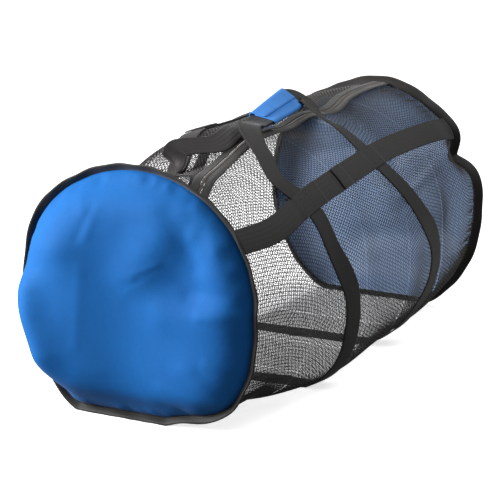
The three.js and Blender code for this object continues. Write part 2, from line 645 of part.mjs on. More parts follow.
// The origin is on the floor under the middle of the whole bag.
const box = new THREE.Box3().setFromObject(bag, true);
bag.position.set(-(box.min.x + box.max.x) / 2, -(box.min.y + box.max.y) / 2, 0);

const root = new THREE.Group();
root.add(bag);
export default root;
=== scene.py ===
"""A net duffel for diving gear, zipped shut and lying as if it were full, on a pale floor."""

import math

import bmesh
import bpy
import numpy as np
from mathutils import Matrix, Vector


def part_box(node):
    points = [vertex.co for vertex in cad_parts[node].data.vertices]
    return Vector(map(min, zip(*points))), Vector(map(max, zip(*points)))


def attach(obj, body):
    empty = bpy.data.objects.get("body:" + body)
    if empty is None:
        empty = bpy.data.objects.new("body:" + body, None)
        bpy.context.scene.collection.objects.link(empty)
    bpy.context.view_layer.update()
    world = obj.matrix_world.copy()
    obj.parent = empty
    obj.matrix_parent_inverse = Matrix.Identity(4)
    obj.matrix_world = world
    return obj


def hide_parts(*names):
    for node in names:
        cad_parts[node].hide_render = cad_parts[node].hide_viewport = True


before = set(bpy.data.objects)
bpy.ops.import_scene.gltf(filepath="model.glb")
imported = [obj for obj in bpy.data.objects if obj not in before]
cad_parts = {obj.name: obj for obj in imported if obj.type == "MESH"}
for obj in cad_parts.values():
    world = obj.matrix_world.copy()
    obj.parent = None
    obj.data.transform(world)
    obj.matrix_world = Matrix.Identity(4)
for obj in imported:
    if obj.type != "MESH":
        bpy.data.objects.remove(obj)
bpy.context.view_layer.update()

# Camera. A long lens about 3.8 m off, level with the top of the bag and turned to show its near end
# and its front side. The bag's own middle is the middle between its end seams, on the floor.
SEAM_TO_SEAM, RING_WIDTH, BAG_HEIGHT = 0.748, 0.396, 0.385
BAG_SIDEWAYS = 0.0056
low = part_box("net_body")[0]
BAG_MIDDLE = np.array([low.x + SEAM_TO_SEAM / 2, BAG_SIDEWAYS, 0.0])
aimed_at = Vector((BAG_MIDDLE[0], BAG_MIDDLE[1], BAG_HEIGHT / 2))
turn, elevation, distance = math.radians(-61), math.radians(14.2), 3.8128
level = math.cos(elevation)
back = Vector((math.sin(turn) * level, -math.cos(turn) * level, math.sin(elevation)))
# The picture's size, the lens and the point that the camera is aimed at, all in pixels of the picture.
PICTURE_WIDTH, PICTURE_HEIGHT = 500, 481
LENS_PIXELS, AIMED_ACROSS, AIMED_DOWN = 2450, 265.9, 234.6
SENSOR_WIDTH = 36
camera = bpy.data.objects.new("camera", bpy.data.cameras.new("camera"))
bpy.context.scene.collection.objects.link(camera)
camera.location = aimed_at + back * distance
camera.rotation_euler = (-back).to_track_quat("-Z", "Y").to_euler()
camera.data.lens = LENS_PIXELS * SENSOR_WIDTH / PICTURE_WIDTH
camera.data.shift_x = -(AIMED_ACROSS - PICTURE_WIDTH / 2) / PICTURE_WIDTH
camera.data.shift_y = (AIMED_DOWN - PICTURE_HEIGHT / 2) / PICTURE_WIDTH
camera.data.clip_end = 50
bpy.context.scene.camera = camera


# Floor and light. A white sweep that the camera sees as white, a weak light from all round, a large soft
# lamp at the back left, so that the near panel is bright at its upper left, and a weaker one over the front.
def linear(colour):
    """An sRGB hex colour as linear red, green, blue and alpha."""
    channels = [int(colour[i : i + 2], 16) / 255 for i in (1, 3, 5)]
    return [c / 12.92 if c <= 0.04045 else ((c + 0.055) / 1.055) ** 2.4 for c in channels] + [1.0]


def node(tree, kind, inputs=None, **settings):
    """Adds a node. An input's name or number goes with a value, or with the socket that it is linked to.
    A node stands for its first output."""
    made = tree.nodes.new(kind)
    for name, value in settings.items():
        setattr(made, name, value)
    for name, value in (inputs or {}).items():
        if isinstance(value, bpy.types.Node):
            value = value.outputs[0]
        if isinstance(value, bpy.types.NodeSocket):
            tree.links.new(value, made.inputs[name])
        else:
            made.inputs[name].default_value = value
    return made


def finish_named(name):
    """A new material with no nodes yet, and the tree that its nodes go in."""
    material = bpy.data.materials.new(name)
    material.use_nodes = True
    material.node_tree.nodes.clear()
    return material, material.node_tree


paper, tree = finish_named("white_paper")
# The camera sees backlit white acrylic, with only a pale shadow. To the bag it is a darker floor, which
# leaves the underside and the foot of the near panel dark.
acrylic = node(
    tree,
    "ShaderNodeBsdfPrincipled",
    {
        "Base Color": linear("#f2f2f2"),
        "Roughness": 0.9,
        "Emission Color": linear("#ffffff"),
        "Emission Strength": 0.7,
    },
)
dull = node(tree, "ShaderNodeBsdfDiffuse", {"Color": linear("#6e6e6e")})
seen = node(tree, "ShaderNodeLightPath").outputs["Is Camera Ray"]
surface = node(tree, "ShaderNodeMixShader", {0: seen, 1: dull, 2: acrylic})
node(tree, "ShaderNodeOutputMaterial", {"Surface": surface})
bpy.ops.mesh.primitive_plane_add(size=14)
floor = bpy.context.object
floor.name = "floor"
floor.data.materials.append(paper)

world = bpy.data.worlds.new("studio")
bpy.context.scene.world = world
world.use_nodes = True
tree = world.node_tree
tree.nodes.clear()
seen = node(tree, "ShaderNodeLightPath").outputs["Is Camera Ray"]
lighting = node(tree, "ShaderNodeBackground", {"Color": linear("#ffffff"), "Strength": 0.31})
backdrop = node(tree, "ShaderNodeBackground", {"Color": linear("#ffffff"), "Strength": 1.0})
both = node(tree, "ShaderNodeMixShader", {0: seen, 1: lighting, 2: backdrop})
node(tree, "ShaderNodeOutputWorld", {"Surface": both})
bpy.context.scene.view_settings.view_transform = "Standard"


LAMPS_AIMED_AT = (0, 0, 0.2)


def softbox(name, place, size, power):
    """A square lamp that faces the bag."""
    lamp = bpy.data.objects.new(name, bpy.data.lights.new(name, "AREA"))
    bpy.context.scene.collection.objects.link(lamp)
    lamp.data.size = size
    lamp.data.energy = power
    lamp.location = place
    lamp.rotation_euler = (Vector(LAMPS_AIMED_AT) - Vector(place)).to_track_quat("-Z", "Y").to_euler()


softbox("key", (-2.2, 2.5, 1.35), 1.5, 235)
softbox("fill", (0.9, -1.2, 2.8), 1.6, 45)

# Net. Black polyester net with a hexagonal mesh of about 5.7 mm, knitted, sewn to the two end seams and to
# the zip. It stands as on a full bag, with broad dents and swellings, and with small puckers at the seams.
WEBBING_WIDTH, WEBBING_THICK, SEAM_GAP = 0.038, 0.002, 0.0004
UNDERSIDE, BINDING_REACH, PRESSED = 0.0024, 0.009475, 0.021
# The columns: share of the length, top, front, back, corner, and how far the underside is lifted.
SECTIONS = np.array(
    [
        (0.0, 0.962, 0.955, 0.975, 2.8, 1.0),
        (0.12, 0.952, 1.0, 0.985, 2.8, 0.1),
        (0.27, 0.99, 1.04, 1.01, 2.8, 0.0),
        (0.43, 0.978, 1.09, 1.03, 3.0, 0.0),
        (0.61, 0.968, 1.06, 1.01, 3.0, 0.0),
        (0.8, 0.968, 1.02, 1.0, 2.9, 0.1),
        (1.0, 0.985, 0.95, 0.955, 2.3, 1.0),
    ]
)
# The columns: share of the length, angle, spread along and round, depth as a share of the height.
DENTS = np.array(
    [
        (0.12, 113, 0.07, 34, 0.066),
        (0.215, 112, 0.085, 34, 0.12),
        (0.12, -66, 0.08, 26, 0.03),
        (0.36, -52, 0.16, 24, -0.031),
        (0.2, 12, 0.07, 16, -0.014),
        (0.47, 8, 0.07, 20, 0.02),
        (0.62, -14, 0.06, 16, -0.016),
        (0.5, 84, 0.07, 18, 0.022),
        (0.86, 4, 0.06, 18, 0.022),
        (1.0, 25, 0.05, 8, 0.075),
        (1.0, 112, 0.08, 24, 0.03),
        (0.0, 172, 0.07, 14, 0.024),
        (1.0, 55, 0.06, 28, 0.022),
        (0.0, -146, 0.07, 22, 0.058),
        (0.0, -68, 0.05, 17, 0.049),
    ]
)
# The columns: share of the length, and the angles of the zip, the front strap and the back strap.
LINES = np.array(
    [
        (0.0, 57, 29, 93),
        (0.12, 68, 28, 98),
        (0.25, 74, 33, 106),
        (0.4, 77, 36.5, 113),
        (0.6, 81, 40.5, 119),
        (0.68, 77.5, 41.5, 121),
        (0.82, 85, 41.5, 127),
        (1.0, 86, 40, 130),
    ]
)
ZIP, FRONT, BACK = 1, 2, 3
COIL_WIDTH, TAPE_WIDTH, ZIP_OVERLAP = 0.005, 0.013, 0.006
TAPE_EDGE = COIL_WIDTH / 2 + SEAM_GAP + TAPE_WIDTH


def along(table, column, key):
    """A smooth curve through one column of a table, at any value of its first column."""
    keys, values = table[:, 0], table[:, column]
    slope = np.empty_like(values)
    slope[1:-1] = (values[2:] - values[:-2]) / (keys[2:] - keys[:-2])
    slope[0] = (values[1] - values[0]) / (keys[1] - keys[0])
    slope[-1] = (values[-1] - values[-2]) / (keys[-1] - keys[-2])
    key = np.asarray(key, float)
    i = np.clip(np.searchsorted(keys, key) - 1, 0, len(keys) - 2)
    span = keys[i + 1] - keys[i]
    t = np.clip((key - keys[i]) / span, 0, 1)
    bend, pull = t * t * (3 - 2 * t), t * (1 - t) * span
    return values[i] * (1 - bend) + values[i + 1] * bend + pull * ((1 - t) * slope[i] - t * slope[i + 1])


def skin(at, angle):
    """The outside of the net at a share of the length and an angle: 0 is the front and 90 the top."""
    at, angle = np.broadcast_arrays(np.asarray(at, float), np.asarray(angle, float))
    top, front, behind, corner, lifted_share = (along(SECTIONS, column, at) for column in range(1, 6))
    c, s = np.cos(np.radians(angle)), np.sin(np.radians(angle))
    middle = BAG_HEIGHT / 2
    across = np.where(c > 0, front, behind) * RING_WIDTH / 2
    up = np.where(s > 0, top * BAG_HEIGHT - middle, middle + PRESSED * BAG_HEIGHT)
    power = np.where(s > 0, 2.0, corner)
    radius = (np.abs(c / across) ** power + np.abs(s / up) ** power) ** (-1 / power)
    for dent_at, dent_angle, dent_along, dent_round, depth in DENTS:
        turned = (angle - dent_angle + 180) % 360 - 180
        fading = np.exp(-(((at - dent_at) / dent_along) ** 2) - (turned / dent_round) ** 2)
        radius = radius - depth * BAG_HEIGHT * fading
    lowest = UNDERSIDE + (BINDING_REACH - UNDERSIDE) * np.maximum(lifted_share, 0)
    z = np.maximum(middle + radius * s, lowest)
    return np.stack([(at - 0.5) * SEAM_TO_SEAM, -radius * c, z], -1) + BAG_MIDDLE


def unit(vectors):
    """The vectors at a length of 1."""
    return vectors / np.linalg.norm(vectors, axis=-1, keepdims=True)


def outward(at, angle):
    """The direction straight out of the net."""
    at, angle = np.broadcast_arrays(np.asarray(at, float), np.asarray(angle, float))
    step, turned = 0.004, 1.5
    lengthwise = skin(np.minimum(at + step, 1), angle) - skin(np.maximum(at - step, 0), angle)
    return unit(np.cross(lengthwise, skin(at, angle + turned) - skin(at, angle - turned)))


def lifted(at, angle, lift):
    """A point at a height over the net."""
    return skin(at, angle) + outward(at, angle) * np.asarray(lift)[..., None]


def degrees_of(width, at, angle):
    """How many degrees a width covers on the net."""
    p = skin(at, angle) - BAG_MIDDLE
    return np.degrees(width / np.hypot(p[..., 1], p[..., 2] - BAG_HEIGHT / 2))


def grid_object(name, points, attributes=None, closed=False):
    """An object whose mesh is one sheet of rows by columns points. attributes go on its points."""
    rows, columns = points.shape[:2]
    last = columns if closed else columns - 1
    i, j = np.meshgrid(np.arange(rows - 1), np.arange(last), indexing="ij")
    k = (j + 1) % columns
    quads = np.stack([i * columns + j, (i + 1) * columns + j, (i + 1) * columns + k, i * columns + k], -1)
    mesh = bpy.data.meshes.new(name)
    mesh.from_pydata(points.reshape(-1, 3).tolist(), [], quads.reshape(-1, 4).tolist())
    for key, values in (attributes or {}).items():
        if values.shape[-1] == 2:
            layer = mesh.uv_layers.new(name=key)
            corners = np.empty(len(mesh.loops), int)
            mesh.loops.foreach_get("vertex_index", corners)
            layer.uv.foreach_set("vector", values.reshape(-1, 2)[corners].astype(np.float32).ravel())
        else:
            vectors = mesh.attributes.new(key, "FLOAT_VECTOR", "POINT").data
            vectors.foreach_set("vector", values.astype(np.float32).ravel())
    made = bpy.data.objects.new(name, mesh)
    bpy.context.scene.collection.objects.link(made)
    return made


def tree_input(tree, name, kind, value=None):
    """A named input of a geometry tree."""
    socket = tree.interface.new_socket(name, in_out="INPUT", socket_type=kind)
    if value is not None:
        socket.default_value = value


def grown(made, tree, **values):
    """Runs a geometry tree on an object and leaves a plain mesh. values are its named inputs."""
    modifier = made.modifiers.new(tree.name, "NODES")
    modifier.node_group = tree
    sockets = {item.name: item.identifier for item in tree.interface.items_tree if item.item_type == "SOCKET"}
    for name, value in values.items():
        modifier[sockets[name.replace("_", " ")]] = value
    bpy.context.view_layer.update()
    evaluated = made.evaluated_get(bpy.context.evaluated_depsgraph_get())
    mesh = bpy.data.meshes.new_from_object(evaluated)
    made.modifiers.clear()
    made.data = mesh
    mesh.name = made.name


net_yarn, tree = finish_named("knitted_polyester_net")
# Matt textured yarn, dyed black, that washes out to a warm grey where the light grazes it.
coordinates = node(tree, "ShaderNodeTexCoord")
fading = node(
    tree, "ShaderNodeTexNoise", {"Vector": coordinates.outputs["Object"], "Scale": 9.0, "Detail": 3.0}
)
yarn_colour = node(
    tree,
    "ShaderNodeMix",
    {0: fading, 6: linear("#151311"), 7: linear("#2b2724")},
    data_type="RGBA",
)
fibres = node(
    tree, "ShaderNodeTexNoise", {"Vector": coordinates.outputs["Object"], "Scale": 2400.0, "Detail": 2.0}
)
roughened = node(tree, "ShaderNodeBump", {"Strength": 0.25, "Distance": 0.0002, "Height": fibres})
surface = node(
    tree,
    "ShaderNodeBsdfPrincipled",
    {
        "Base Color": yarn_colour.outputs[2],
        "Roughness": 0.62,
        "Sheen Weight": 0.25,
        "Sheen Roughness": 0.4,
        "Normal": roughened,
    },
)
node(tree, "ShaderNodeOutputMaterial", {"Surface": surface})

# The geometry tree for the net. It lays a flat honeycomb over the cut net, keeps the cells of one stretch,
# carries them to the curved sheet, opens each cell and raises what is left to a rounded strand.
weave = bpy.data.node_groups.new("net_weave", "GeometryNodeTree")
tree_input(weave, "Sheet", "NodeSocketGeometry")
for name, value in (
    ("Flat Length", 0.75),
    ("Flat Girth", 1.2),
    ("Pitch", 0.0058),
    ("Row", 0.005),
    ("From", 0.0),
    ("To", 1.0),
    ("Opening", 0.77),
    ("Thickness", 0.001),
    ("Unevenness", 0.0009),
):
    tree_input(weave, name, "NodeSocketFloat", value)
tree_input(weave, "Yarn", "NodeSocketMaterial")
weave.interface.new_socket("Net", in_out="OUTPUT", socket_type="NodeSocketGeometry")
given = node(weave, "NodeGroupInput").outputs

# The lattice reaches a few rows and holes past the sheet.
SPARE_CELLS = 5.0
lattice_inputs = {}
for axis, extent, spacing in (("X", "Flat Length", "Row"), ("Y", "Flat Girth", "Pitch")):
    exact = node(weave, "ShaderNodeMath", {0: given[extent], 1: given[spacing]}, operation="DIVIDE")
    whole = node(weave, "ShaderNodeMath", {0: exact}, operation="ROUND")
    count = node(weave, "ShaderNodeMath", {0: whole, 1: SPARE_CELLS}, operation="ADD")
    steps = node(weave, "ShaderNodeMath", {0: count, 1: 1.0}, operation="SUBTRACT")
    covered = node(weave, "ShaderNodeMath", {0: steps, 1: given[spacing]}, operation="MULTIPLY")
    lattice_inputs[f"Size {axis}"] = covered
    lattice_inputs[f"Vertices {axis}"] = count
lattice = node(weave, "GeometryNodeMeshGrid", lattice_inputs)

# Every second row is moved by half a hole. Rows are counted from well before the sheet, so that no row's
# number is below 0.
BEFORE_SHEET = 10.0
place = node(weave, "GeometryNodeInputPosition")
place_axes = node(weave, "ShaderNodeSeparateXYZ", {0: place}).outputs
counted_from = node(weave, "ShaderNodeMath", {0: place_axes[0], 1: BEFORE_SHEET}, operation="ADD")
in_rows = node(weave, "ShaderNodeMath", {0: counted_from, 1: given["Row"]}, operation="DIVIDE")
row_number = node(weave, "ShaderNodeMath", {0: in_rows}, operation="ROUND")
odd = node(weave, "ShaderNodeMath", {0: row_number, 1: 2.0}, operation="FLOORED_MODULO")
half_hole = node(weave, "ShaderNodeMath", {0: given["Pitch"], 1: 0.5}, operation="MULTIPLY")
moved_by = node(weave, "ShaderNodeMath", {0: odd, 1: half_hole}, operation="MULTIPLY")
half_step = node(weave, "ShaderNodeCombineXYZ", {1: moved_by})
staggered = node(weave, "GeometryNodeSetPosition", {"Geometry": lattice, "Offset": half_step})
triangles = node(weave, "GeometryNodeTriangulate", {0: staggered}, quad_method="SHORTEST_DIAGONAL")
honeycomb = node(weave, "GeometryNodeDualMesh", {0: triangles})

# Cells before or after the stretch, and cells beside the sheet, are taken out.
share_axes = {}
for axis, extent in enumerate(("Flat Length", "Flat Girth")):
    from_middle = node(weave, "ShaderNodeMath", {0: place_axes[axis], 1: given[extent]}, operation="DIVIDE")
    share_axes[axis] = node(weave, "ShaderNodeMath", {0: from_middle, 1: 0.5}, operation="ADD")
shares = node(weave, "ShaderNodeCombineXYZ", share_axes)
share_of = node(weave, "ShaderNodeSeparateXYZ", {0: shares}).outputs
before = node(weave, "ShaderNodeMath", {0: share_of[0], 1: given["From"]}, operation="LESS_THAN")
after = node(weave, "ShaderNodeMath", {0: share_of[0], 1: given["To"]}, operation="GREATER_THAN")
off_middle = node(weave, "ShaderNodeMath", {0: share_of[1], 1: 0.5}, operation="SUBTRACT")
off_either_way = node(weave, "ShaderNodeMath", {0: off_middle}, operation="ABSOLUTE")
beside = node(weave, "ShaderNodeMath", {0: off_either_way, 1: 0.5}, operation="GREATER_THAN")
before_or_after = node(weave, "ShaderNodeMath", {0: before, 1: after}, operation="ADD")
unwanted = node(weave, "ShaderNodeMath", {0: before_or_after, 1: beside}, operation="ADD")
kept = node(weave, "GeometryNodeDeleteGeometry", {0: honeycomb, 1: unwanted}, domain="FACE")

# The cells are a little uneven, and are carried to the curved sheet, just inside its edges.
SHEET_EDGE = 0.0004
wobble = node(weave, "ShaderNodeTexNoise", {"Vector": place, "Scale": 170.0, "Detail": 1.0})
centred = node(
    weave,
    "ShaderNodeVectorMath",
    {0: wobble.outputs["Color"], 1: (0.5, 0.5, 0.5)},
    operation="SUBTRACT",
)
scaled = node(weave, "ShaderNodeVectorMath", {0: centred, 3: given["Unevenness"]}, operation="SCALE")
uneven = node(weave, "GeometryNodeSetPosition", {"Geometry": kept, "Offset": scaled})
past_start = node(
    weave,
    "ShaderNodeVectorMath",
    {0: shares, 1: (SHEET_EDGE, SHEET_EDGE, 0)},
    operation="MAXIMUM",
)
inside = node(
    weave,
    "ShaderNodeVectorMath",
    {0: past_start, 1: (1 - SHEET_EDGE, 1 - SHEET_EDGE, 0)},
    operation="MINIMUM",
)
flat_map = node(weave, "GeometryNodeInputNamedAttribute", {"Name": "flat"}, data_type="FLOAT_VECTOR")
curved = node(
    weave,
    "GeometryNodeSampleUVSurface",
    {"Mesh": given["Sheet"], "Value": place, "UV Map": flat_map, "Sample UV": inside},
    data_type="FLOAT_VECTOR",
)
out_map = node(weave, "GeometryNodeInputNamedAttribute", {"Name": "out"}, data_type="FLOAT_VECTOR")
facing = node(
    weave,
    "GeometryNodeSampleUVSurface",
    {"Mesh": given["Sheet"], "Value": out_map, "UV Map": flat_map, "Sample UV": inside},
    data_type="FLOAT_VECTOR",
)
faced = node(
    weave,
    "GeometryNodeStoreNamedAttribute",
    {"Geometry": uneven, "Name": "strand_out", "Value": facing.outputs["Value"]},
    data_type="FLOAT_VECTOR",
    domain="POINT",
)
laid = node(weave, "GeometryNodeSetPosition", {"Geometry": faced, "Position": curved.outputs["Value"]})

# Each cell is opened by a smaller copy of itself. What is left between the holes is raised on both sides,
# except at the edges of the stretch and of the holes.
neighbours = node(weave, "GeometryNodeInputMeshEdgeNeighbors")
shared = node(weave, "FunctionNodeCompare", {2: neighbours, 3: 1}, data_type="INT", operation="EQUAL")
hemmed = node(
    weave,
    "GeometryNodeStoreNamedAttribute",
    {"Geometry": laid, "Name": "hem", "Value": shared},
    data_type="BOOLEAN",
    domain="POINT",
)
doubled = node(
    weave,
    "GeometryNodeExtrudeMesh",
    {"Mesh": hemmed, "Offset Scale": 0.0, "Individual": True},
    mode="FACES",
)
shrunk = node(
    weave,
    "GeometryNodeScaleElements",
    {"Geometry": doubled.outputs["Mesh"], "Selection": doubled.outputs["Top"], "Scale": given["Opening"]},
    domain="FACE",
)
rimmed = node(
    weave,
    "GeometryNodeStoreNamedAttribute",
    {"Geometry": shrunk, "Selection": doubled.outputs["Top"], "Name": "hem", "Value": True},
    data_type="BOOLEAN",
    domain="POINT",
)
opened = node(weave, "GeometryNodeDeleteGeometry", {0: rimmed, 1: doubled.outputs["Top"]}, domain="FACE")
hem = node(weave, "GeometryNodeInputNamedAttribute", {"Name": "hem"}, data_type="BOOLEAN")
ridge = node(weave, "FunctionNodeBooleanMath", {0: hem}, operation="NOT")
strand_out = node(
    weave,
    "GeometryNodeInputNamedAttribute",
    {"Name": "strand_out"},
    data_type="FLOAT_VECTOR",
)
halves = []
for way in (0.5, -0.5):
    rise = node(weave, "ShaderNodeMath", {0: given["Thickness"], 1: way}, operation="MULTIPLY")
    offset = node(weave, "ShaderNodeVectorMath", {0: strand_out, 3: rise}, operation="SCALE")
    halves.append(
        node(
            weave,
            "GeometryNodeSetPosition",
            {"Geometry": opened, "Selection": ridge, "Offset": offset},
        )
    )
under = node(weave, "GeometryNodeFlipFaces", {0: halves[1]})
joined = node(weave, "GeometryNodeJoinGeometry")
weave.links.new(halves[0].outputs[0], joined.inputs[0])
weave.links.new(under.outputs[0], joined.inputs[0])
merged = node(weave, "GeometryNodeMergeByDistance", {"Geometry": joined, "Distance": 0.00001})
smooth = node(weave, "GeometryNodeSetShadeSmooth", {"Geometry": merged})
real = node(weave, "GeometryNodeRealizeInstances", {0: smooth})
dyed = node(weave, "GeometryNodeSetMaterial", {"Geometry": real, "Material": given["Yarn"]})
node(weave, "NodeGroupOutput", {0: dyed})

# The sheet that the net lies on runs from the front edge of the zip, down the front, under the bag and up
# the back. It puckers inwards next to the end seams.
NET_WALL = 0.0016
# How far from a seam the puckers and the seam itself reach, as shares of the length. The far end has
# shallower puckers.
PUCKER_REACH, SEAM_REACH, FAR_PUCKERS = 0.035, 0.004, 0.8
PUCKER_DRIFT, PUCKER_SHARPNESS = 2.2, 1.5
SHEET_ROWS, SHEET_COLUMNS = 170, 420
sheet_at = np.linspace(0, 1, SHEET_ROWS)[:, None]
sheet_share = np.linspace(0, 1, SHEET_COLUMNS)[None, :]
zip_angle = along(LINES, ZIP, sheet_at)
slot = degrees_of(TAPE_EDGE - ZIP_OVERLAP, sheet_at, zip_angle)
sheet_angle = zip_angle - slot + sheet_share * (2 * slot - 360)
round_bag = np.radians(sheet_angle)
near_seams = np.exp(-sheet_at / PUCKER_REACH) + FAR_PUCKERS * np.exp(-(1 - sheet_at) / PUCKER_REACH)
pucker = np.zeros_like(sheet_angle)
for count, seed, depth in ((46, 0.4, 0.0026), (31, 2.1, 0.0022), (83, 4.4, 0.0012)):
    wave = np.sin(round_bag * count + seed + PUCKER_DRIFT * np.sin(round_bag * 5 + seed))
    pucker += depth * np.clip(wave, 0, 1) ** PUCKER_SHARPNESS * near_seams
seam = np.exp(-((sheet_at / SEAM_REACH) ** 2)) + np.exp(-(((1 - sheet_at) / SEAM_REACH) ** 2))
pucker *= 1 - seam
sheet_points = lifted(sheet_at, sheet_angle, -NET_WALL / 2 - pucker)
steps = np.linalg.norm(np.diff(sheet_points, axis=1), axis=2)
girth = np.concatenate([np.zeros((SHEET_ROWS, 1)), np.cumsum(steps, axis=1)], axis=1)
flat = np.stack([np.broadcast_to(sheet_at, sheet_angle.shape), girth / girth[:, -1:]], -1)
NET_PIECES = 5
net = grid_object("net_pattern", sheet_points, {"flat": flat, "out": outward(sheet_at, sheet_angle)})
for number in range(NET_PIECES):
    piece = bpy.data.objects.new(f"net_{number + 1}", net.data.copy())
    bpy.context.scene.collection.objects.link(piece)
    grown(
        piece,
        weave,
        Flat_Length=SEAM_TO_SEAM,
        Flat_Girth=float(girth[:, -1].mean()),
        From=number / NET_PIECES if number else -1.0,
        To=(number + 1) / NET_PIECES if number + 1 < NET_PIECES else 2.0,
        Yarn=net_yarn,
    )
    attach(piece, "root")
    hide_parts("net_body")
bpy.data.objects.remove(net)

# End panels. Each is a round of coated nylon oxford cloth, dyed blue, sewn to the end seam. It
# stands out as on a full bag, taut at the left, with soft folds that run in from the seam and fine creases.
PANEL_RISE, SHOULDER, RIM_INSET, PANEL_WALL = 0.037, 10, 0.0006, 0.0014
# The columns: across and up of both ends of a fold, its spread and its height. across grows to the front.
NEAR_FOLDS = np.array(
    [
        (-0.84, -0.05, -0.7, -0.5, 1.1, 1.15),
        (-0.5, 0.3, -0.42, -0.55, 2.0, 0.85),
        (0.36, 0.52, 0.1, 0.2, 0.9, 0.2),
        (0.5, 0.56, 0.46, 0.16, 1.15, -0.34),
        (0.34, -0.06, 0.86, -0.02, 0.8, 0.16),
        (0.6, 0.1, 0.9, 0.08, 0.7, -0.16),
        (-0.45, 0.86, 0.35, 0.84, 0.6, -0.42),
        (-0.85, 0.28, -0.5, 0.34, 0.6, 0.08),
        (0.5, -0.5, 0.72, -0.66, 0.5, 0.08),
        (-0.6, -0.84, 0.4, -0.9, 0.5, -0.3),
    ]
)
NEAR_CREASES = np.array(
    [
        (0.34, 0.66, 0.56, 0.3, 0.42, -0.1),
        (0.66, 0.8, 0.72, 0.42, 0.26, 0.08),
        (0.62, 0.72, 0.52, 0.5, 0.2, 0.05),
        (0.5, 0.06, 0.98, 0.1, 0.3, -0.065),
        (0.62, -0.06, 0.98, -0.03, 0.22, 0.065),
        (-0.27, 0.63, -0.33, 0.42, 0.13, -0.03),
        (-0.2, 0.66, -0.26, 0.44, 0.14, 0.03),
        (-0.3, 0.2, -0.33, -0.38, 0.2, 0.018),
        (0.1, 0.2, 0.28, 0.28, 0.12, 0.025),
        (0.14, 0.14, 0.02, 0.1, 0.12, -0.02),
        (-0.9, 0.44, -0.62, 0.52, 0.2, -0.05),
        (-0.9, 0.3, -0.72, 0.27, 0.12, 0.035),
        (-0.86, 0.12, -0.66, 0.16, 0.12, -0.03),
        (0.66, -0.42, 0.94, -0.56, 0.16, 0.05),
        (0.6, -0.5, 0.86, -0.7, 0.16, -0.04),
        (0.3, -0.66, 0.74, -0.78, 0.3, 0.04),
        (0.86, 0.16, 1, 0.12, 0.1, 0.045),
        (0.86, 0.05, 1, 0.04, 0.1, -0.045),
        (-0.5, 0.86, -0.3, 0.62, 0.22, 0.06),
        (-0.66, -0.3, -0.38, 0.1, 0.5, -0.015),
    ]
)
FAR_FOLDS = np.array(
    [
        (-0.5, 0.45, 0.1, -0.1, 0.7, -0.3),
        (0.1, 0.3, 0.6, 0.62, 0.6, 0.25),
        (-0.2, -0.5, 0.5, -0.4, 0.6, 0.2),
        (-0.7, 0.2, -0.2, 0.3, 0.25, 0.08),
        (0.2, -0.1, 0.5, 0.2, 0.2, -0.07),
        (0.5, -0.3, 0.8, -0.5, 0.25, 0.1),
    ]
)
PANEL_RINGS, PANEL_TURNS = 40, 150
# Rings lie closer together towards the rim, which is crimped just inside the seam.
RING_CROWDING, CRIMP_AT, CRIMP_SPREAD = 0.8, 0.965, 0.0016


def sealed(made):
    """Joins an object's doubled points, turns its faces outwards and shades it smooth."""
    shape = bmesh.new()
    shape.from_mesh(made.data)
    bmesh.ops.remove_doubles(shape, verts=shape.verts, dist=0.000001)
    bmesh.ops.recalc_face_normals(shape, faces=shape.faces)
    shape.to_mesh(made.data)
    shape.free()
    made.data.shade_smooth()


def wall_object(name, outer, inner, material, flat=None, closed=False, capped=False):
    """A closed wall between two like sheets of rows by columns points. flat is the point's place on the
    cloth in metres. A closed sheet meets itself after its last column, and a capped one is closed over
    its first row."""
    rows, columns = outer.shape[:2]
    points = np.concatenate([outer.reshape(-1, 3), inner.reshape(-1, 3)])
    half = rows * columns
    last = columns if closed else columns - 1
    i, j = np.meshgrid(np.arange(rows - 1), np.arange(last), indexing="ij")
    k = (j + 1) % columns
    quads = np.stack([i * columns + j, (i + 1) * columns + j, (i + 1) * columns + k, i * columns + k], -1)
    quads = quads.reshape(-1, 4)
    faces = [*quads.tolist(), *(half + quads[:, ::-1]).tolist()]
    ends = [] if capped else [(0, 1)]
    for row, way in [*ends, (rows - 1, -1)]:
        for column in range(last):
            a, b = row * columns + column, row * columns + (column + 1) % columns
            faces.append([a, b, half + b, half + a][::way])
    if capped:
        middles = [outer[0].mean(0), inner[0].mean(0)]
        points = np.concatenate([points, middles])
        for column in range(last):
            a, b = column, (column + 1) % columns
            faces += [[2 * half, a, b], [2 * half + 1, half + b, half + a]]
    if not closed:
        for row in range(rows - 1):
            a, b = row * columns, (row + 1) * columns
            faces.append([a, half + a, half + b, b])
            faces.append([a + last, b + last, half + b + last, half + a + last])
    mesh = bpy.data.meshes.new(name)
    mesh.from_pydata(points.tolist(), [], faces)
    if flat is not None:
        both = np.concatenate([flat.reshape(-1, 2), flat.reshape(-1, 2), np.zeros((2, 2))])
        layer = mesh.uv_layers.new(name="flat")
        corners = np.empty(len(mesh.loops), int)
        mesh.loops.foreach_get("vertex_index", corners)
        layer.uv.foreach_set("vector", both[corners].astype(np.float32).ravel())
    mesh.materials.append(material)
    made = bpy.data.objects.new(name, mesh)
    bpy.context.scene.collection.objects.link(made)
    sealed(made)
    return made


def threads(tree, coordinate, spacing):
    """A wave from 0 to 1 across threads at a spacing in metres."""
    turns = {0: coordinate, 1: 2 * math.pi / spacing}
    angle = node(tree, "ShaderNodeMath", turns, operation="MULTIPLY")
    wave = node(tree, "ShaderNodeMath", {0: angle}, operation="SINE")
    return node(tree, "ShaderNodeMath", {0: wave, 1: 0.5, 2: 0.5}, operation="MULTIPLY_ADD")


nylon, tree = finish_named("coated_nylon_oxford")
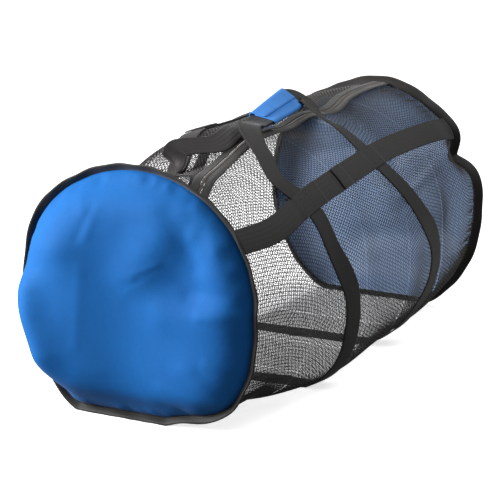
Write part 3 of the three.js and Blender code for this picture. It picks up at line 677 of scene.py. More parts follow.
# Plain weave of flat filament yarn with a soft gloss. Its threads are about 0.5 mm apart, and are drawn
# 1.4 mm apart so that a grain shows. The dye is a little uneven, and the slubs in the yarn are darker.
coordinates = node(tree, "ShaderNodeTexCoord")
axes = node(tree, "ShaderNodeSeparateXYZ", {0: coordinates.outputs["Object"]}).outputs
OXFORD_SPACING = 0.0014
weft, warp = threads(tree, axes[1], OXFORD_SPACING), threads(tree, axes[2], OXFORD_SPACING)
grain = node(
    tree,
    "ShaderNodeMath",
    {
        0: node(tree, "ShaderNodeMath", {0: weft, 1: 0.5}, operation="MULTIPLY"),
        1: node(tree, "ShaderNodeMath", {0: warp, 1: 0.5}, operation="MULTIPLY"),
    },
    operation="ADD",
)
clouds = node(
    tree, "ShaderNodeTexNoise", {"Vector": coordinates.outputs["Object"], "Scale": 14.0, "Detail": 5.0}
)
slubs = node(
    tree, "ShaderNodeTexNoise", {"Vector": coordinates.outputs["Object"], "Scale": 520.0, "Detail": 3.0}
)
dye = node(tree, "ShaderNodeMix", {0: clouds, 6: linear("#135fa9"), 7: linear("#1c76c8")}, data_type="RGBA")
flecked = node(
    tree,
    "ShaderNodeMix",
    {
        0: node(tree, "ShaderNodeMath", {0: slubs, 1: 0.6}, operation="MULTIPLY"),
        6: dye.outputs[2],
        7: linear("#084e90"),
    },
    data_type="RGBA",
)
wrinkles = node(
    tree,
    "ShaderNodeTexNoise",
    {"Vector": coordinates.outputs["Object"], "Scale": 26.0, "Detail": 6.0, "Roughness": 0.55},
)
crumpled = node(tree, "ShaderNodeBump", {"Strength": 0.14, "Distance": 0.003, "Height": wrinkles})
woven = node(
    tree, "ShaderNodeBump", {"Strength": 0.7, "Distance": 0.0003, "Height": grain, "Normal": crumpled}
)
surface = node(
    tree,
    "ShaderNodeBsdfPrincipled",
    {
        "Base Color": flecked.outputs[2],
        "Roughness": 0.68,
        "Specular IOR Level": 0.16,
        "Sheen Weight": 0.05,
        "Sheen Roughness": 0.45,
        "Normal": woven,
    },
)
node(tree, "ShaderNodeOutputMaterial", {"Surface": surface})

coating, tree = finish_named("polyurethane_coating")
# The proofing on the inside of the same cloth: a milky film that dulls and pales the blue, with the grain
# of the threads still in it.
coordinates = node(tree, "ShaderNodeTexCoord")
axes = node(tree, "ShaderNodeSeparateXYZ", {0: coordinates.outputs["Object"]}).outputs
weft, warp = threads(tree, axes[1], OXFORD_SPACING), threads(tree, axes[2], OXFORD_SPACING)
grain = node(tree, "ShaderNodeMath", {0: weft, 1: warp}, operation="MULTIPLY")
clouds = node(
    tree, "ShaderNodeTexNoise", {"Vector": coordinates.outputs["Object"], "Scale": 17.0, "Detail": 5.0}
)
film = node(
    tree,
    "ShaderNodeMix",
    {0: clouds, 6: linear("#7592bd"), 7: linear("#9db3d2")},
    data_type="RGBA",
)
grained = node(tree, "ShaderNodeBump", {"Strength": 0.3, "Distance": 0.0002, "Height": grain})
surface = node(
    tree,
    "ShaderNodeBsdfPrincipled",
    {"Base Color": film.outputs[2], "Roughness": 0.5, "Specular IOR Level": 0.4, "Normal": grained},
)
node(tree, "ShaderNodeOutputMaterial", {"Surface": surface})


def fold_heights(folds, across, up):
    """How far the folds raise a panel, as a share of its rise. across and up are in metres."""
    total = np.zeros_like(across)
    for across_from, up_from, across_to, up_to, spread, height in folds:
        start = np.array([-across_from * RING_WIDTH, up_from * BAG_HEIGHT]) / 2
        run = np.array([-across_to * RING_WIDTH, up_to * BAG_HEIGHT]) / 2 - start
        t = np.clip(((across - start[0]) * run[0] + (up - start[1]) * run[1]) / (run @ run), 0, 1)
        off = np.hypot(across - start[0] - t * run[0], up - start[1] - t * run[1]) / (spread * PANEL_RISE)
        total += height * np.exp(-off * off)
    return total


ring_angle = np.arange(PANEL_TURNS) * 360 / PANEL_TURNS
ring_round = np.radians(ring_angle)
near_shape = np.concatenate([NEAR_FOLDS, NEAR_CREASES])
for name, end, side, folds in (("near", 0, -1, near_shape), ("far", 1, 1, FAR_FOLDS)):
    rim = skin(end, ring_angle) - BAG_MIDDLE
    from_middle = np.stack([rim[:, 1], rim[:, 2] - BAG_HEIGHT / 2], -1)
    from_middle *= 1 - RIM_INSET / np.linalg.norm(from_middle, axis=1, keepdims=True)
    ring = np.linspace(1 / PANEL_RINGS, 1, PANEL_RINGS)[:, None] ** RING_CROWDING
    across, up = ring * from_middle[:, 0], ring * from_middle[:, 1]
    crimp = np.zeros_like(across)
    for count, seed, depth in ((37, 1.0, 0.0016), (58, 3.0, 0.001), (23, 5.2, 0.0018)):
        wave = np.sin(ring_round * count + seed + 2 * np.sin(ring_round * 4 + seed))
        crimp = crimp + depth * wave * np.exp(-((ring - CRIMP_AT) ** 2) / CRIMP_SPREAD) * (1 - ring**40)
    rise = (1 - ring**SHOULDER) * (1 + fold_heights(folds, across, up)) * PANEL_RISE + crimp
    sheets = []
    for thick in (PANEL_WALL, 0):
        x = side * (SEAM_TO_SEAM / 2 + SEAM_GAP + thick + rise)
        sheets.append(np.stack([x, across, up + BAG_HEIGHT / 2], -1) + BAG_MIDDLE)
    piece = wall_object(f"end_cloth_{name}", *sheets, nylon, closed=True, capped=True)
    piece.data.materials.append(coating)
    for face in piece.data.polygons:
        face.material_index = int(face.normal.x * side < 0)
    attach(piece, "root")
    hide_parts(f"end_panel_{name}")

# End bindings. A folded black tape is sewn over the raw edges of each end seam and stands out from it, a
# little wavy, with a line of stitches along its foot.
BINDING_WIDTH, BINDING_THICK, BINDING_LEAN = 0.0134, 0.0045, 45
# How many degrees the tape's waves lean it either way, in a slow wave and a quick one.
SLOW_LEAN, QUICK_LEAN = 7, 4
# How far the folded edges reach in past the seam, where they hold both cloths.
BINDING_FOOT = 0.004
webbing, tree = finish_named("woven_nylon_webbing")
# Black nylon webbing, woven in a herringbone of about 1 mm ribs that are drawn 2.2 mm apart to show. It is
# worn to a warm dark grey in patches, and a little fuzzy.
RIB_SPACING, ZIGZAG = 0.0022, 0.0035
on_cloth = node(tree, "ShaderNodeUVMap", uv_map="flat")
cloth_axes = node(tree, "ShaderNodeSeparateXYZ", {0: on_cloth}).outputs
zigzag = node(tree, "ShaderNodeMath", {0: cloth_axes[1], 1: ZIGZAG}, operation="PINGPONG")
slanting = node(tree, "ShaderNodeMath", {0: cloth_axes[0], 1: zigzag}, operation="ADD")
herringbone = threads(tree, slanting, RIB_SPACING)
coordinates = node(tree, "ShaderNodeTexCoord")
wear = node(
    tree,
    "ShaderNodeTexNoise",
    {"Vector": coordinates.outputs["Object"], "Scale": 18.0, "Detail": 6.0, "Roughness": 0.6},
)
fuzz = node(
    tree, "ShaderNodeTexNoise", {"Vector": coordinates.outputs["Object"], "Scale": 900.0, "Detail": 2.0}
)
black = node(tree, "ShaderNodeMix", {0: wear, 6: linear("#121110"), 7: linear("#1c1917")}, data_type="RGBA")
ribbed = node(
    tree,
    "ShaderNodeMix",
    {
        0: node(tree, "ShaderNodeMath", {0: herringbone, 1: 0.3}, operation="MULTIPLY"),
        6: black.outputs[2],
        7: linear("#2b2724"),
    },
    data_type="RGBA",
)
hairy = node(tree, "ShaderNodeBump", {"Strength": 0.3, "Distance": 0.0002, "Height": fuzz})
woven = node(
    tree, "ShaderNodeBump", {"Strength": 0.45, "Distance": 0.0003, "Height": herringbone, "Normal": hairy}
)
surface = node(
    tree,
    "ShaderNodeBsdfPrincipled",
    {
        "Base Color": ribbed.outputs[2],
        "Roughness": 0.6,
        "Specular IOR Level": 0.35,
        "Sheen Weight": 0.2,
        "Sheen Roughness": 0.4,
        "Normal": woven,
    },
)
node(tree, "ShaderNodeOutputMaterial", {"Surface": surface})

BINDING_TURNS = 360
SECTION_TURNS = 14
turns = np.arange(BINDING_TURNS) * 360 / BINDING_TURNS
for name, end, side in (("near", 0, -1), ("far", 1, 1)):
    seam = skin(end, turns)
    radial = np.cross(skin(end, turns + 2) - skin(end, turns - 2), [1.0, 0, 0])
    radial = unit(
        radial * np.sign((radial * (seam - BAG_MIDDLE - [0, 0, BAG_HEIGHT / 2])).sum(-1, keepdims=True))
    )
    turning = np.radians(turns)
    slow_wave = SLOW_LEAN * np.sin(9 * turning + 1.2 + end) * np.sin(2 * turning)
    lean = np.radians(BINDING_LEAN + slow_wave + QUICK_LEAN * np.sin(23 * turning))[:, None]
    lengthwise = np.array([side, 0, 0])
    out = radial * np.sin(lean) + lengthwise * np.cos(lean)
    over = radial * np.cos(lean) - lengthwise * np.sin(lean)
    # The tape is folded: round at its outer edge and slack in its middle, with both edges at its foot.
    bend = np.arange(SECTION_TURNS) / SECTION_TURNS * 2 * math.pi
    reach = BINDING_WIDTH * (0.5 - 0.5 * np.cos(bend))
    rise = BINDING_THICK / 2 * np.sign(np.sin(bend)) * np.abs(np.sin(bend)) ** 0.6
    standing = reach * (1 + BINDING_FOOT / BINDING_WIDTH) - BINDING_FOOT
    loops = seam[:, None] + out[:, None] * standing[None, :, None] + over[:, None] * rise[None, :, None]
    loops[..., 2] = np.maximum(loops[..., 2], 0)
    loops = np.concatenate([loops, loops[:1]])
    run = np.concatenate([[0], np.cumsum(np.linalg.norm(np.diff(seam, axis=0), axis=1))])
    flat = np.stack(np.broadcast_arrays(run[:, None], reach[None]), -1)
    flat = np.concatenate([flat, flat[:1] + [run[-1], 0]])
    piece = grid_object(f"binding_tape_{name}", loops, {"flat": flat}, closed=True)
    sealed(piece)
    piece.data.materials.append(webbing)
    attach(piece, "root")
    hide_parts(f"binding_{name}")

# Straps. Nylon webbing 38 mm wide: two belts pass under the bag, and on each side three lengths that
# overlap run from end to end over them. All but the middle lengths are sewn along both edges.
BELTS = np.array(
    [
        (-260, 0.17, 0.63),
        (-210, 0.23, 0.65),
        (-150, 0.29, 0.66),
        (-90, 0.34, 0.67),
        (-42, 0.355, 0.688),
        (-25, 0.352, 0.744),
        (-9, 0.338, 0.742),
        (12, 0.276, 0.66),
        (30, 0.258, 0.602),
        (45, 0.2, 0.575),
    ]
)
HALF_STRAP = WEBBING_WIDTH / 2 / SEAM_TO_SEAM
STACK = WEBBING_THICK + SEAM_GAP
# Places across a strap from edge to edge, and how thick it is there: its edges are woven thinner.
ACROSS = np.array([-1, -0.975, -0.92, -0.82, -0.5, -0.17, 0.17, 0.5, 0.82, 0.92, 0.975, 1])
FULLNESS = np.array([0.35, 0.75, 1, 0.92, 0.98, 1, 1, 0.98, 0.92, 1, 0.75, 0.35])


def strap_on_net(name, at, angle, lift, thick=WEBBING_THICK):
    """A strap that lies on the net. at and angle have a row for each step along it and a column for each
    place across it."""
    middle = lift + thick / 2
    fullness = thick / 2 * np.interp(np.linspace(-1, 1, at.shape[1]), ACROSS, FULLNESS)
    sheets = [lifted(at, angle, middle + way * fullness) for way in (1, -1)]
    outer = sheets[0]
    lengthwise = np.linalg.norm(np.diff(outer, axis=0), axis=2)
    crosswise = np.linalg.norm(np.diff(outer, axis=1), axis=2)
    run = np.cumsum(np.concatenate([np.zeros((1, outer.shape[1])), lengthwise]), axis=0)
    wide = np.cumsum(np.concatenate([np.zeros((outer.shape[0], 1)), crosswise], axis=1), axis=1)
    made = wall_object(name, *sheets, webbing, flat=np.stack([run, wide], -1))
    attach(made, "root")
    return made


def stitch_line(at, angle, lift):
    """Points, directions and outward ways for a line of stitches on the net, one row each."""
    points = lifted(at, angle, lift)
    ahead = np.gradient(points, axis=0)
    return np.concatenate([points, unit(ahead), outward(at, angle)], axis=-1)


def evenly(line, spacing):
    """A line's rows taken again at an even spacing."""
    run = np.concatenate([[0], np.cumsum(np.linalg.norm(np.diff(line[:, :3], axis=0), axis=1))])
    wanted = np.arange(spacing / 2, run[-1], spacing)
    return np.stack([np.interp(wanted, run, line[:, k]) for k in range(9)], -1)


STITCH_SPACING, STITCH_LENGTH, THREAD = 0.0048, 0.0034, 0.0007
stitches = []


def ramp(x, low, high, width=0.01):
    """1 from low to high and 0 beyond, with soft steps of a width."""
    return 1 / (1 + np.exp(-8 * (x - low) / width - 4)) / (1 + np.exp(8 * (x - high) / width - 4))


def crossing(column, strap_line):
    """The share of the length at which a belt meets a side strap."""
    # A first guess, which each round brings nearer.
    at = 0.4
    for _ in range(12):
        angle = along(LINES, strap_line, at)
        at = float(along(BELTS, column, angle if strap_line == FRONT else angle - 360))
    return at


# A strap stops this far from each end seam, and the middle length this far from the near belt. The way
# between the belts is counted in sevenths, and two lengths overlap by one of them.
END_GAP, BELT_GAP, STRIPS = 0.0025, 0.004, 7
# The stitches lie this share of the half width off the middle, and across a free end this far from it.
EDGE_STITCHES, LAP_STITCHES, LAP_STITCHES_WIDTH, STITCH_STEPS = 0.88, 0.008, 0.85, 12
STRAP_STEPS, LEAST_STEPS = 200, 24
for side_name, line in (("front", FRONT), ("back", BACK)):
    near, far = crossing(1, line), crossing(2, line)
    between_belts = (far - HALF_STRAP) - (near + HALF_STRAP)
    lap_near = near + HALF_STRAP + between_belts / STRIPS
    lap_from = near + HALF_STRAP + between_belts * 3 / STRIPS
    lap_to = near + HALF_STRAP + between_belts * 4 / STRIPS
    lengths = {
        "near": (END_GAP, lap_near, [(near - HALF_STRAP, 1)]),
        "middle": (near + HALF_STRAP + BELT_GAP, lap_to, []),
        "far": (lap_from, 1 - END_GAP, [(lap_from, lap_to), (far - HALF_STRAP, far + HALF_STRAP)]),
    }
    for part, (start, stop, raised) in lengths.items():
        steps = max(int((stop - start) * STRAP_STEPS), LEAST_STEPS)
        at = np.linspace(start, stop, steps)[:, None]
        at = np.broadcast_to(at, (steps, len(ACROSS)))
        middle = along(LINES, line, at)
        angle = middle - ACROSS * degrees_of(WEBBING_WIDTH / 2, at, middle)
        lift = SEAM_GAP + STACK * np.clip(sum([ramp(at, a, b) for a, b in raised] or [at * 0]), 0, 1)
        piece = strap_on_net(f"side_webbing_{side_name}_{part}", at, angle, lift)
        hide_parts(f"side_strap_{side_name}_{part}")
        if part == "middle":
            continue
        for edge in (-EDGE_STITCHES, EDGE_STITCHES):
            row_angle = middle[:, 0] - edge * degrees_of(WEBBING_WIDTH / 2, at[:, 0], middle[:, 0])
            stitches.append(stitch_line(at[:, 0], row_angle, lift[:, 0] + WEBBING_THICK))
        cross = np.linspace(-LAP_STITCHES_WIDTH, LAP_STITCHES_WIDTH, STITCH_STEPS)
        cross_at = np.full(STITCH_STEPS, start + LAP_STITCHES if part == "far" else stop - LAP_STITCHES)
        cross_middle = along(LINES, line, cross_at)
        cross_angle = cross_middle - cross * degrees_of(WEBBING_WIDTH / 2, cross_at, cross_middle)
        cross_lift = np.full(STITCH_STEPS, SEAM_GAP + STACK + WEBBING_THICK)
        stitches.append(stitch_line(cross_at, cross_angle, cross_lift))

# Where a handle pulls on a belt, the belt and the strap over it are sewn with a crossed box.
BOX_LENGTH, BOX_WIDTH = 0.026, 0.026
BOX_CORNERS = np.array([(-1, -1), (1, -1), (1, 1), (-1, 1)]) / 2
BOX_LINES = ((0, 1), (1, 2), (2, 3), (3, 0), (0, 2), (1, 3))
for line in (FRONT, BACK):
    for column in (1, 2):
        box_at = crossing(column, line)
        for first, last in BOX_LINES:
            share = np.linspace(0, 1, STITCH_STEPS)[:, None]
            run, wide = (BOX_CORNERS[first] * (1 - share) + BOX_CORNERS[last] * share).T
            at = box_at + run * BOX_LENGTH / SEAM_TO_SEAM
            middle = along(LINES, line, at)
            angle = middle + wide * degrees_of(BOX_WIDTH, at, middle)
            stitches.append(stitch_line(at, angle, np.full(STITCH_STEPS, SEAM_GAP + STACK + WEBBING_THICK)))

# A belt widens within some steps of its ends. Its edge stitches stop a few steps short of them.
BELT_STEPS, WIDENING_STEPS, UNSTITCHED_STEPS = 200, 30, 8
# The most aslant that a belt is widened for, as the share of its way that goes round the bag.
MOST_ASLANT = 0.72
for name, column in (("near", 1), ("far", 2)):
    at_front, at_back = crossing(column, FRONT), crossing(column, BACK)
    front_middle, back_middle = along(LINES, FRONT, at_front), along(LINES, BACK, at_back)
    angle_from = front_middle + degrees_of(WEBBING_WIDTH / 2, at_front, front_middle)
    angle_to = back_middle - 360 - degrees_of(WEBBING_WIDTH / 2, at_back, back_middle)
    angle = np.linspace(float(angle_from), float(angle_to), BELT_STEPS)[:, None]
    angle = np.broadcast_to(angle, (BELT_STEPS, len(ACROSS)))
    # A belt that runs aslant covers more of the length than one that runs straight round.
    middle = along(BELTS, column, angle[:, 0])
    path = skin(middle, angle[:, 0])
    ahead = unit(np.gradient(path, axis=0))
    from_end = np.minimum(np.arange(BELT_STEPS), np.arange(BELT_STEPS)[::-1])
    aslant = 1 / np.clip(np.sqrt(1 - ahead[:, 0] ** 2), MOST_ASLANT, 1) - 1
    half = HALF_STRAP * (1 + aslant * np.clip(from_end / WIDENING_STEPS, 0, 1))
    at = middle[:, None] + ACROSS * half[:, None]
    piece = strap_on_net(f"belt_webbing_{name}", at, angle, np.full(at.shape, SEAM_GAP))
    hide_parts(f"belt_{name}")
    stitched_steps = slice(UNSTITCHED_STEPS, -UNSTITCHED_STEPS)
    for edge in (-EDGE_STITCHES, EDGE_STITCHES):
        row = (middle + edge * half)[stitched_steps]
        lift = np.full(len(row), SEAM_GAP + WEBBING_THICK)
        stitches.append(stitch_line(row, angle[stitched_steps, 0], lift))

# Zip. Two woven tapes with a moulded coil between them, closed. The coil is paler than the tapes. Two small
# enamelled sliders meet under the front handle.
TAPE_THICK, COIL_THICK, COIL_STEP = 0.0012, 0.0022, 0.0024
# Where the tapes begin, as a share of the length, and how far their stitches lie from their outer edges.
TAPE_START, TAPE_ROWS, TAPE_COLUMNS, TAPE_STITCHES = 0.0045, 220, 7, 0.0035
at = np.linspace(TAPE_START, 1 - TAPE_START, TAPE_ROWS)[:, None]
at = np.broadcast_to(at, (TAPE_ROWS, TAPE_COLUMNS))
zip_line = along(LINES, ZIP, at)
for name, way in (("front", -1), ("back", 1)):
    inner = zip_line + way * degrees_of(COIL_WIDTH / 2 + SEAM_GAP, at, zip_line)
    outer = zip_line + way * degrees_of(TAPE_EDGE, at, zip_line)
    angle = inner + (outer - inner) * np.linspace(0, 1, TAPE_COLUMNS)
    lift = np.full(at.shape, 2 * SEAM_GAP)
    piece = strap_on_net(f"zip_webbing_{name}", at, angle, lift, thick=TAPE_THICK)
    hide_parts(f"zip_tape_{name}")
    stitched = zip_line[:, 0] + way * degrees_of(TAPE_EDGE - TAPE_STITCHES, at[:, 0], zip_line[:, 0])
    stitches.append(stitch_line(at[:, 0], stitched, lift[:, 0] + TAPE_THICK))

coil_nylon, tree = finish_named("moulded_nylon_coil")
# Nylon monofilament, smooth and a little glossy, so it reads as a pale line on the tapes.
coordinates = node(tree, "ShaderNodeTexCoord")
dust = node(
    tree, "ShaderNodeTexNoise", {"Vector": coordinates.outputs["Object"], "Scale": 60.0, "Detail": 4.0}
)
tint = node(tree, "ShaderNodeMix", {0: dust, 6: linear("#4b4542"), 7: linear("#6f6862")}, data_type="RGBA")
surface = node(
    tree, "ShaderNodeBsdfPrincipled", {"Base Color": tint.outputs[2], "Roughness": 0.38, "IOR": 1.53}
)
node(tree, "ShaderNodeOutputMaterial", {"Surface": surface})

# The tree that sets a small shape on each of a row of points, turned to the row's own directions. It makes
# both the zip's coil and the stitches.
setting = bpy.data.node_groups.new("set_along", "GeometryNodeTree")
tree_input(setting, "Places", "NodeSocketGeometry")
tree_input(setting, "Length", "NodeSocketFloat", 0.003)
tree_input(setting, "Width", "NodeSocketFloat", 0.0007)
tree_input(setting, "Height", "NodeSocketFloat", 0.0007)
tree_input(setting, "Finish", "NodeSocketMaterial")
setting.interface.new_socket("Set", in_out="OUTPUT", socket_type="NodeSocketGeometry")
given = node(setting, "NodeGroupInput").outputs
bead = node(setting, "GeometryNodeMeshIcoSphere", {"Radius": 0.5, "Subdivisions": 1})
ahead = node(setting, "GeometryNodeInputNamedAttribute", {"Name": "ahead"}, data_type="FLOAT_VECTOR")
out = node(setting, "GeometryNodeInputNamedAttribute", {"Name": "out"}, data_type="FLOAT_VECTOR")
aligned = node(
    setting,
    "FunctionNodeAxesToRotation",
    {0: out, 1: ahead},
    primary_axis="Z",
    secondary_axis="X",
)
proportions = node(
    setting, "ShaderNodeCombineXYZ", {0: given["Length"], 1: given["Width"], 2: given["Height"]}
)
set_down = node(
    setting,
    "GeometryNodeInstanceOnPoints",
    {
        "Points": given["Places"],
        "Instance": bead,
        "Rotation": aligned,
        "Scale": proportions,
    },
)
real = node(setting, "GeometryNodeRealizeInstances", {0: set_down})
rounded = node(setting, "GeometryNodeSetShadeSmooth", {"Geometry": real})
coloured = node(setting, "GeometryNodeSetMaterial", {"Geometry": rounded, "Material": given["Finish"]})
node(setting, "NodeGroupOutput", {0: coloured})


def row_of_points(name, rows):
    """A mesh of loose points with the ways ahead and out at each. rows holds nine numbers a point."""
    mesh = bpy.data.meshes.new(name)
    mesh.from_pydata(rows[:, :3].tolist(), [], [])
    for key, first in (("ahead", 3), ("out", 6)):
        values = mesh.attributes.new(key, "FLOAT_VECTOR", "POINT").data
        values.foreach_set("vector", rows[:, first : first + 3].astype(np.float32).ravel())
    made = bpy.data.objects.new(name, mesh)
    bpy.context.scene.collection.objects.link(made)
    return made


# The coil begins a little after the tapes and lies on a thin woven bed.
COIL_START, COIL_ROWS, BED_COLUMNS, BED_THICK = 0.006, 400, 3, 0.0009
# How far its turns stand off the middle and up, as shares of its width and thickness.
TURN_OFF_MIDDLE, TURN_HEIGHT = 0.2, 0.6
line_at = np.linspace(COIL_START, 1 - COIL_START, COIL_ROWS)
teeth = []
for way in (-1, 1):
    angle = along(LINES, ZIP, line_at)
    angle = angle + way * degrees_of(COIL_WIDTH * TURN_OFF_MIDDLE, line_at, angle)
    turn_line = stitch_line(line_at, angle, np.full(COIL_ROWS, COIL_THICK * TURN_HEIGHT))
    teeth.append(evenly(turn_line, COIL_STEP))
teeth[1][:, :3] += teeth[1][:, 3:6] * COIL_STEP / 2
coil = row_of_points("zip_coil_turns", np.concatenate(teeth))
grown(
    coil,
    setting,
    Length=COIL_STEP * 0.72,
    Width=COIL_WIDTH * 0.62,
    Height=COIL_THICK * 0.8,
    Finish=coil_nylon,
)
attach(coil, "root")
bed_at = np.broadcast_to(line_at[::2, None], (COIL_ROWS // 2, BED_COLUMNS))
bed_line = along(LINES, ZIP, bed_at)
bed_angle = bed_line + np.array([-1, 0, 1]) * degrees_of(COIL_WIDTH / 2, bed_at, bed_line)
bed_sheets = [lifted(bed_at, bed_angle, np.full(bed_at.shape, height)) for height in (BED_THICK, 0.0)]
bed = wall_object("zip_coil_bed", *bed_sheets, webbing)
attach(bed, "root")
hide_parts("zip_coil")

enamel, tree = finish_named("black_enamelled_zinc")
# Die-cast zinc under thin black enamel: smooth, rounded and glossy, rubbed a little grey.
coordinates = node(tree, "ShaderNodeTexCoord")
rubbed = node(
    tree, "ShaderNodeTexNoise", {"Vector": coordinates.outputs["Object"], "Scale": 300.0, "Detail": 3.0}
)
shade = node(
    tree,
    "ShaderNodeMix",
    {0: rubbed, 6: linear("#141312"), 7: linear("#3b3836")},
    data_type="RGBA",
)
surface = node(
    tree, "ShaderNodeBsdfPrincipled", {"Base Color": shade.outputs[2], "Roughness": 0.3, "Coat Weight": 0.3}
)
node(tree, "ShaderNodeOutputMaterial", {"Surface": surface})
for name in ("near", "far"):
    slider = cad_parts[f"zip_slider_{name}"]
    copied = bpy.data.objects.new(f"slider_{name}", slider.data.copy())
    bpy.context.scene.collection.objects.link(copied)
    copied.data.materials.clear()
    copied.data.materials.append(enamel)
    weld = copied.modifiers.new("weld", "WELD")
    weld.merge_threshold = 0.00001
    soften = copied.modifiers.new("soften", "BEVEL")
    soften.width, soften.segments = 0.0005, 2
    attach(copied, "root")
    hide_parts(f"zip_slider_{name}")

# Handles. Each is a loop of the same webbing, sewn to the belts at the side straps. They come together in
# the grip wrap, the front one over the back one, and slump to the bag on either side of it.
GRIP_HEIGHT, GRIP_LENGTH = 0.024, 0.094
# How far a handle's end is tucked under the side strap, as a share of the way to the zip.
TUCK = 0.1
GRIP_AT, GRIP_ANGLE, GRIP_RISE, TILT_NEAR, TILT_FAR = 0.515, 85.5, 10, 10, 33
HELD = (-0.74, -0.52, -0.25, 0, 0.25, 0.52, 0.58)
# The columns: share of the length, way from the strap to the zip, lift, where the face looks and its lean.
LEGS = {
    "front": (
        [
            (0.215, 0.28, 0.3, 45, 0),
            (0.245, 0.55, 0.45, 52, 0),
            (0.285, 0.82, 0.5, 62, 0),
            (0.345, 1.1, 0.55, 74, 0),
        ],
        [(0.6, 1.0, 0.9, 70, 8), (0.574, 0.7, 0.5, 70, 22), (0.57, 0.35, 0.3, 58, 12)],
    ),
    "back": (
        [
            (0.18, 0.12, 1.3, 70, -20),
            (0.213, 0.3, 1.25, 62, -10),
            (0.253, 0.66, 0.5, 62, 0),
            (0.34, 0.7, 0.2, 78, 0),
        ],
        [(0.64, 0.78, 0.3, 76, 15), (0.645, 0.4, 0.4, 95, 10), (0.638, 0.18, 0.25, 110, 0)],
    ),
}
grip_middle = skin(GRIP_AT, GRIP_ANGLE)
grip_middle[2] = skin(GRIP_AT, 90)[2] + GRIP_HEIGHT
grip_axis = np.array([math.cos(math.radians(GRIP_RISE)), 0, math.sin(math.radians(GRIP_RISE))])


def grip_frame(share):
    """The wrap's middle, its way across and its upper face at a share of its length."""
    tilt = math.radians(TILT_NEAR + (TILT_FAR - TILT_NEAR) * (share + 0.5))
    wide = np.array([0, math.cos(tilt), math.sin(tilt)])
    wide = unit(wide - grip_axis * (wide @ grip_axis))
    return grip_middle + grip_axis * share * GRIP_LENGTH, wide, np.cross(grip_axis, wide)


def centripetal(points, t):
    """A smooth curve through points at shares t of its stations, slower where they are close."""
    points = np.asarray(points)
    made = []
    for where in t * (len(points) - 1):
        i = min(int(where), len(points) - 2)
        w = where - i
        p1, p2 = points[i], points[i + 1]
        p0 = points[i - 1] if i > 0 else 2 * p1 - p2
        p3 = points[i + 2] if i + 2 < len(points) else 2 * p2 - p1
        d0, d1, d2 = (max(np.linalg.norm(b - a) ** 0.5, 1e-6) for a, b in ((p0, p1), (p1, p2), (p2, p3)))
        m1 = ((p1 - p0) / d0 - (p2 - p0) / (d0 + d1) + (p2 - p1) / d1) * d1
        m2 = ((p2 - p1) / d1 - (p3 - p1) / (d1 + d2) + (p3 - p2) / d2) * d1
        made.append(
            p1 + m1 * w + (-3 * p1 + 3 * p2 - 2 * m1 - m2) * w**2 + (2 * p1 - 2 * p2 + m1 + m2) * w**3
        )
    return np.array(made)


def strap_edge(at, line, facing):
    """The angle of a side strap's upper edge."""
    middle = along(LINES, line, at)
    return float(middle + facing * degrees_of(WEBBING_WIDTH / 2 + SEAM_GAP, at, middle))


def station(at, away, lift, line, facing):
    """A point over the net at a share of the way from a side strap to the zip."""
    edge = strap_edge(at, line, facing)
    return lifted(at, edge + away * (float(along(LINES, ZIP, at)) - edge), lift)


def foot(column, way, line, facing):
    """A handle's end on a belt: its middle, its way across and its upper face."""
    at = crossing(column, line)
    lift = SEAM_GAP + WEBBING_THICK * FOOT_HEIGHT
    ends = [station(at + k * HALF_STRAP, -TUCK, lift, line, facing) for k in (-1, 1)]
    wide = unit(ends[1] - ends[0]) * -way * facing
    return (ends[0] + ends[1]) / 2, wide, outward(at, strap_edge(at, line, facing))


def slumped(rows, line, facing):
    """A leg's middles and the ways that it faces, from its rows in LEGS."""
    made = []
    for at, away, lift, angle, lean in rows:
        angle, lean = math.radians(angle), math.radians(lean)
        level = math.cos(lean)
        out = np.array([math.sin(lean), -math.cos(angle) * level, math.sin(angle) * level])
        made.append((station(at, away, STACK + lift * GRIP_HEIGHT, line, facing), out))
    return made


# A handle's end lies this high in its place under the side strap, as a share of the webbing's thickness.
FOOT_HEIGHT = 0.6
HANDLE_STEPS = 170
for side_name, line, facing in (("front", FRONT, 1), ("back", BACK, -1)):
    held = []
    for share in HELD:
        middle, wide, face = grip_frame(share)
        held.append((middle + face * facing * STACK / 2, wide, face))
    near_leg, far_leg = (slumped(rows, line, facing) for rows in LEGS[side_name])
    near_foot, far_foot = foot(1, 1, line, facing), foot(2, -1, line, facing)
    frames = [near_foot, *near_leg, *held, *far_leg, far_foot]
    for i, station_frame in enumerate(frames):
        if len(station_frame) == 2:
            middle, out = station_frame
            ahead = unit(frames[i + 1][0] - frames[i - 1][0])
            face = unit(out - ahead * (out @ ahead))
            frames[i] = (middle, np.cross(face, ahead), face)
    t = np.linspace(0, 1, HANDLE_STEPS)
    path, wide, face = (centripetal([f[k] for f in frames], t) for k in range(3))
    face = unit(face)
    wide = unit(wide - face * (wide * face).sum(-1, keepdims=True))
    across = ACROSS * WEBBING_WIDTH / 2
    sheets = []
    for way in (1, -1):
        height = way * WEBBING_THICK / 2 * FULLNESS
        sheets.append(path[:, None] + wide[:, None] * across[:, None] + face[:, None] * height[:, None])
    run = np.concatenate([[0], np.cumsum(np.linalg.norm(np.diff(path, axis=0), axis=1))])
    flat = np.stack(np.broadcast_arrays(run[:, None], across[None]), -1)
    for edge in (-EDGE_STITCHES, EDGE_STITCHES):
        row = path + wide * edge * WEBBING_WIDTH / 2 + face * WEBBING_THICK / 2
        stitches.append(
            np.concatenate([row, unit(np.gradient(row, axis=0)), face], axis=-1)[stitched_steps]
        )
    piece = wall_object(f"handle_webbing_{side_name}", *sheets, webbing, flat=flat)
    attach(piece, "root")
    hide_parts(f"handle_{side_name}")

# Grip wrap. A strip of bright blue nylon with hook-and-loop inside, wound a little more than once round
# both handles. Its end lies on top, with a line of stitches along it.
WRAP_THICK, WRAP_EASE, WRAP_STEPS = 0.0016, 0.0005, 60
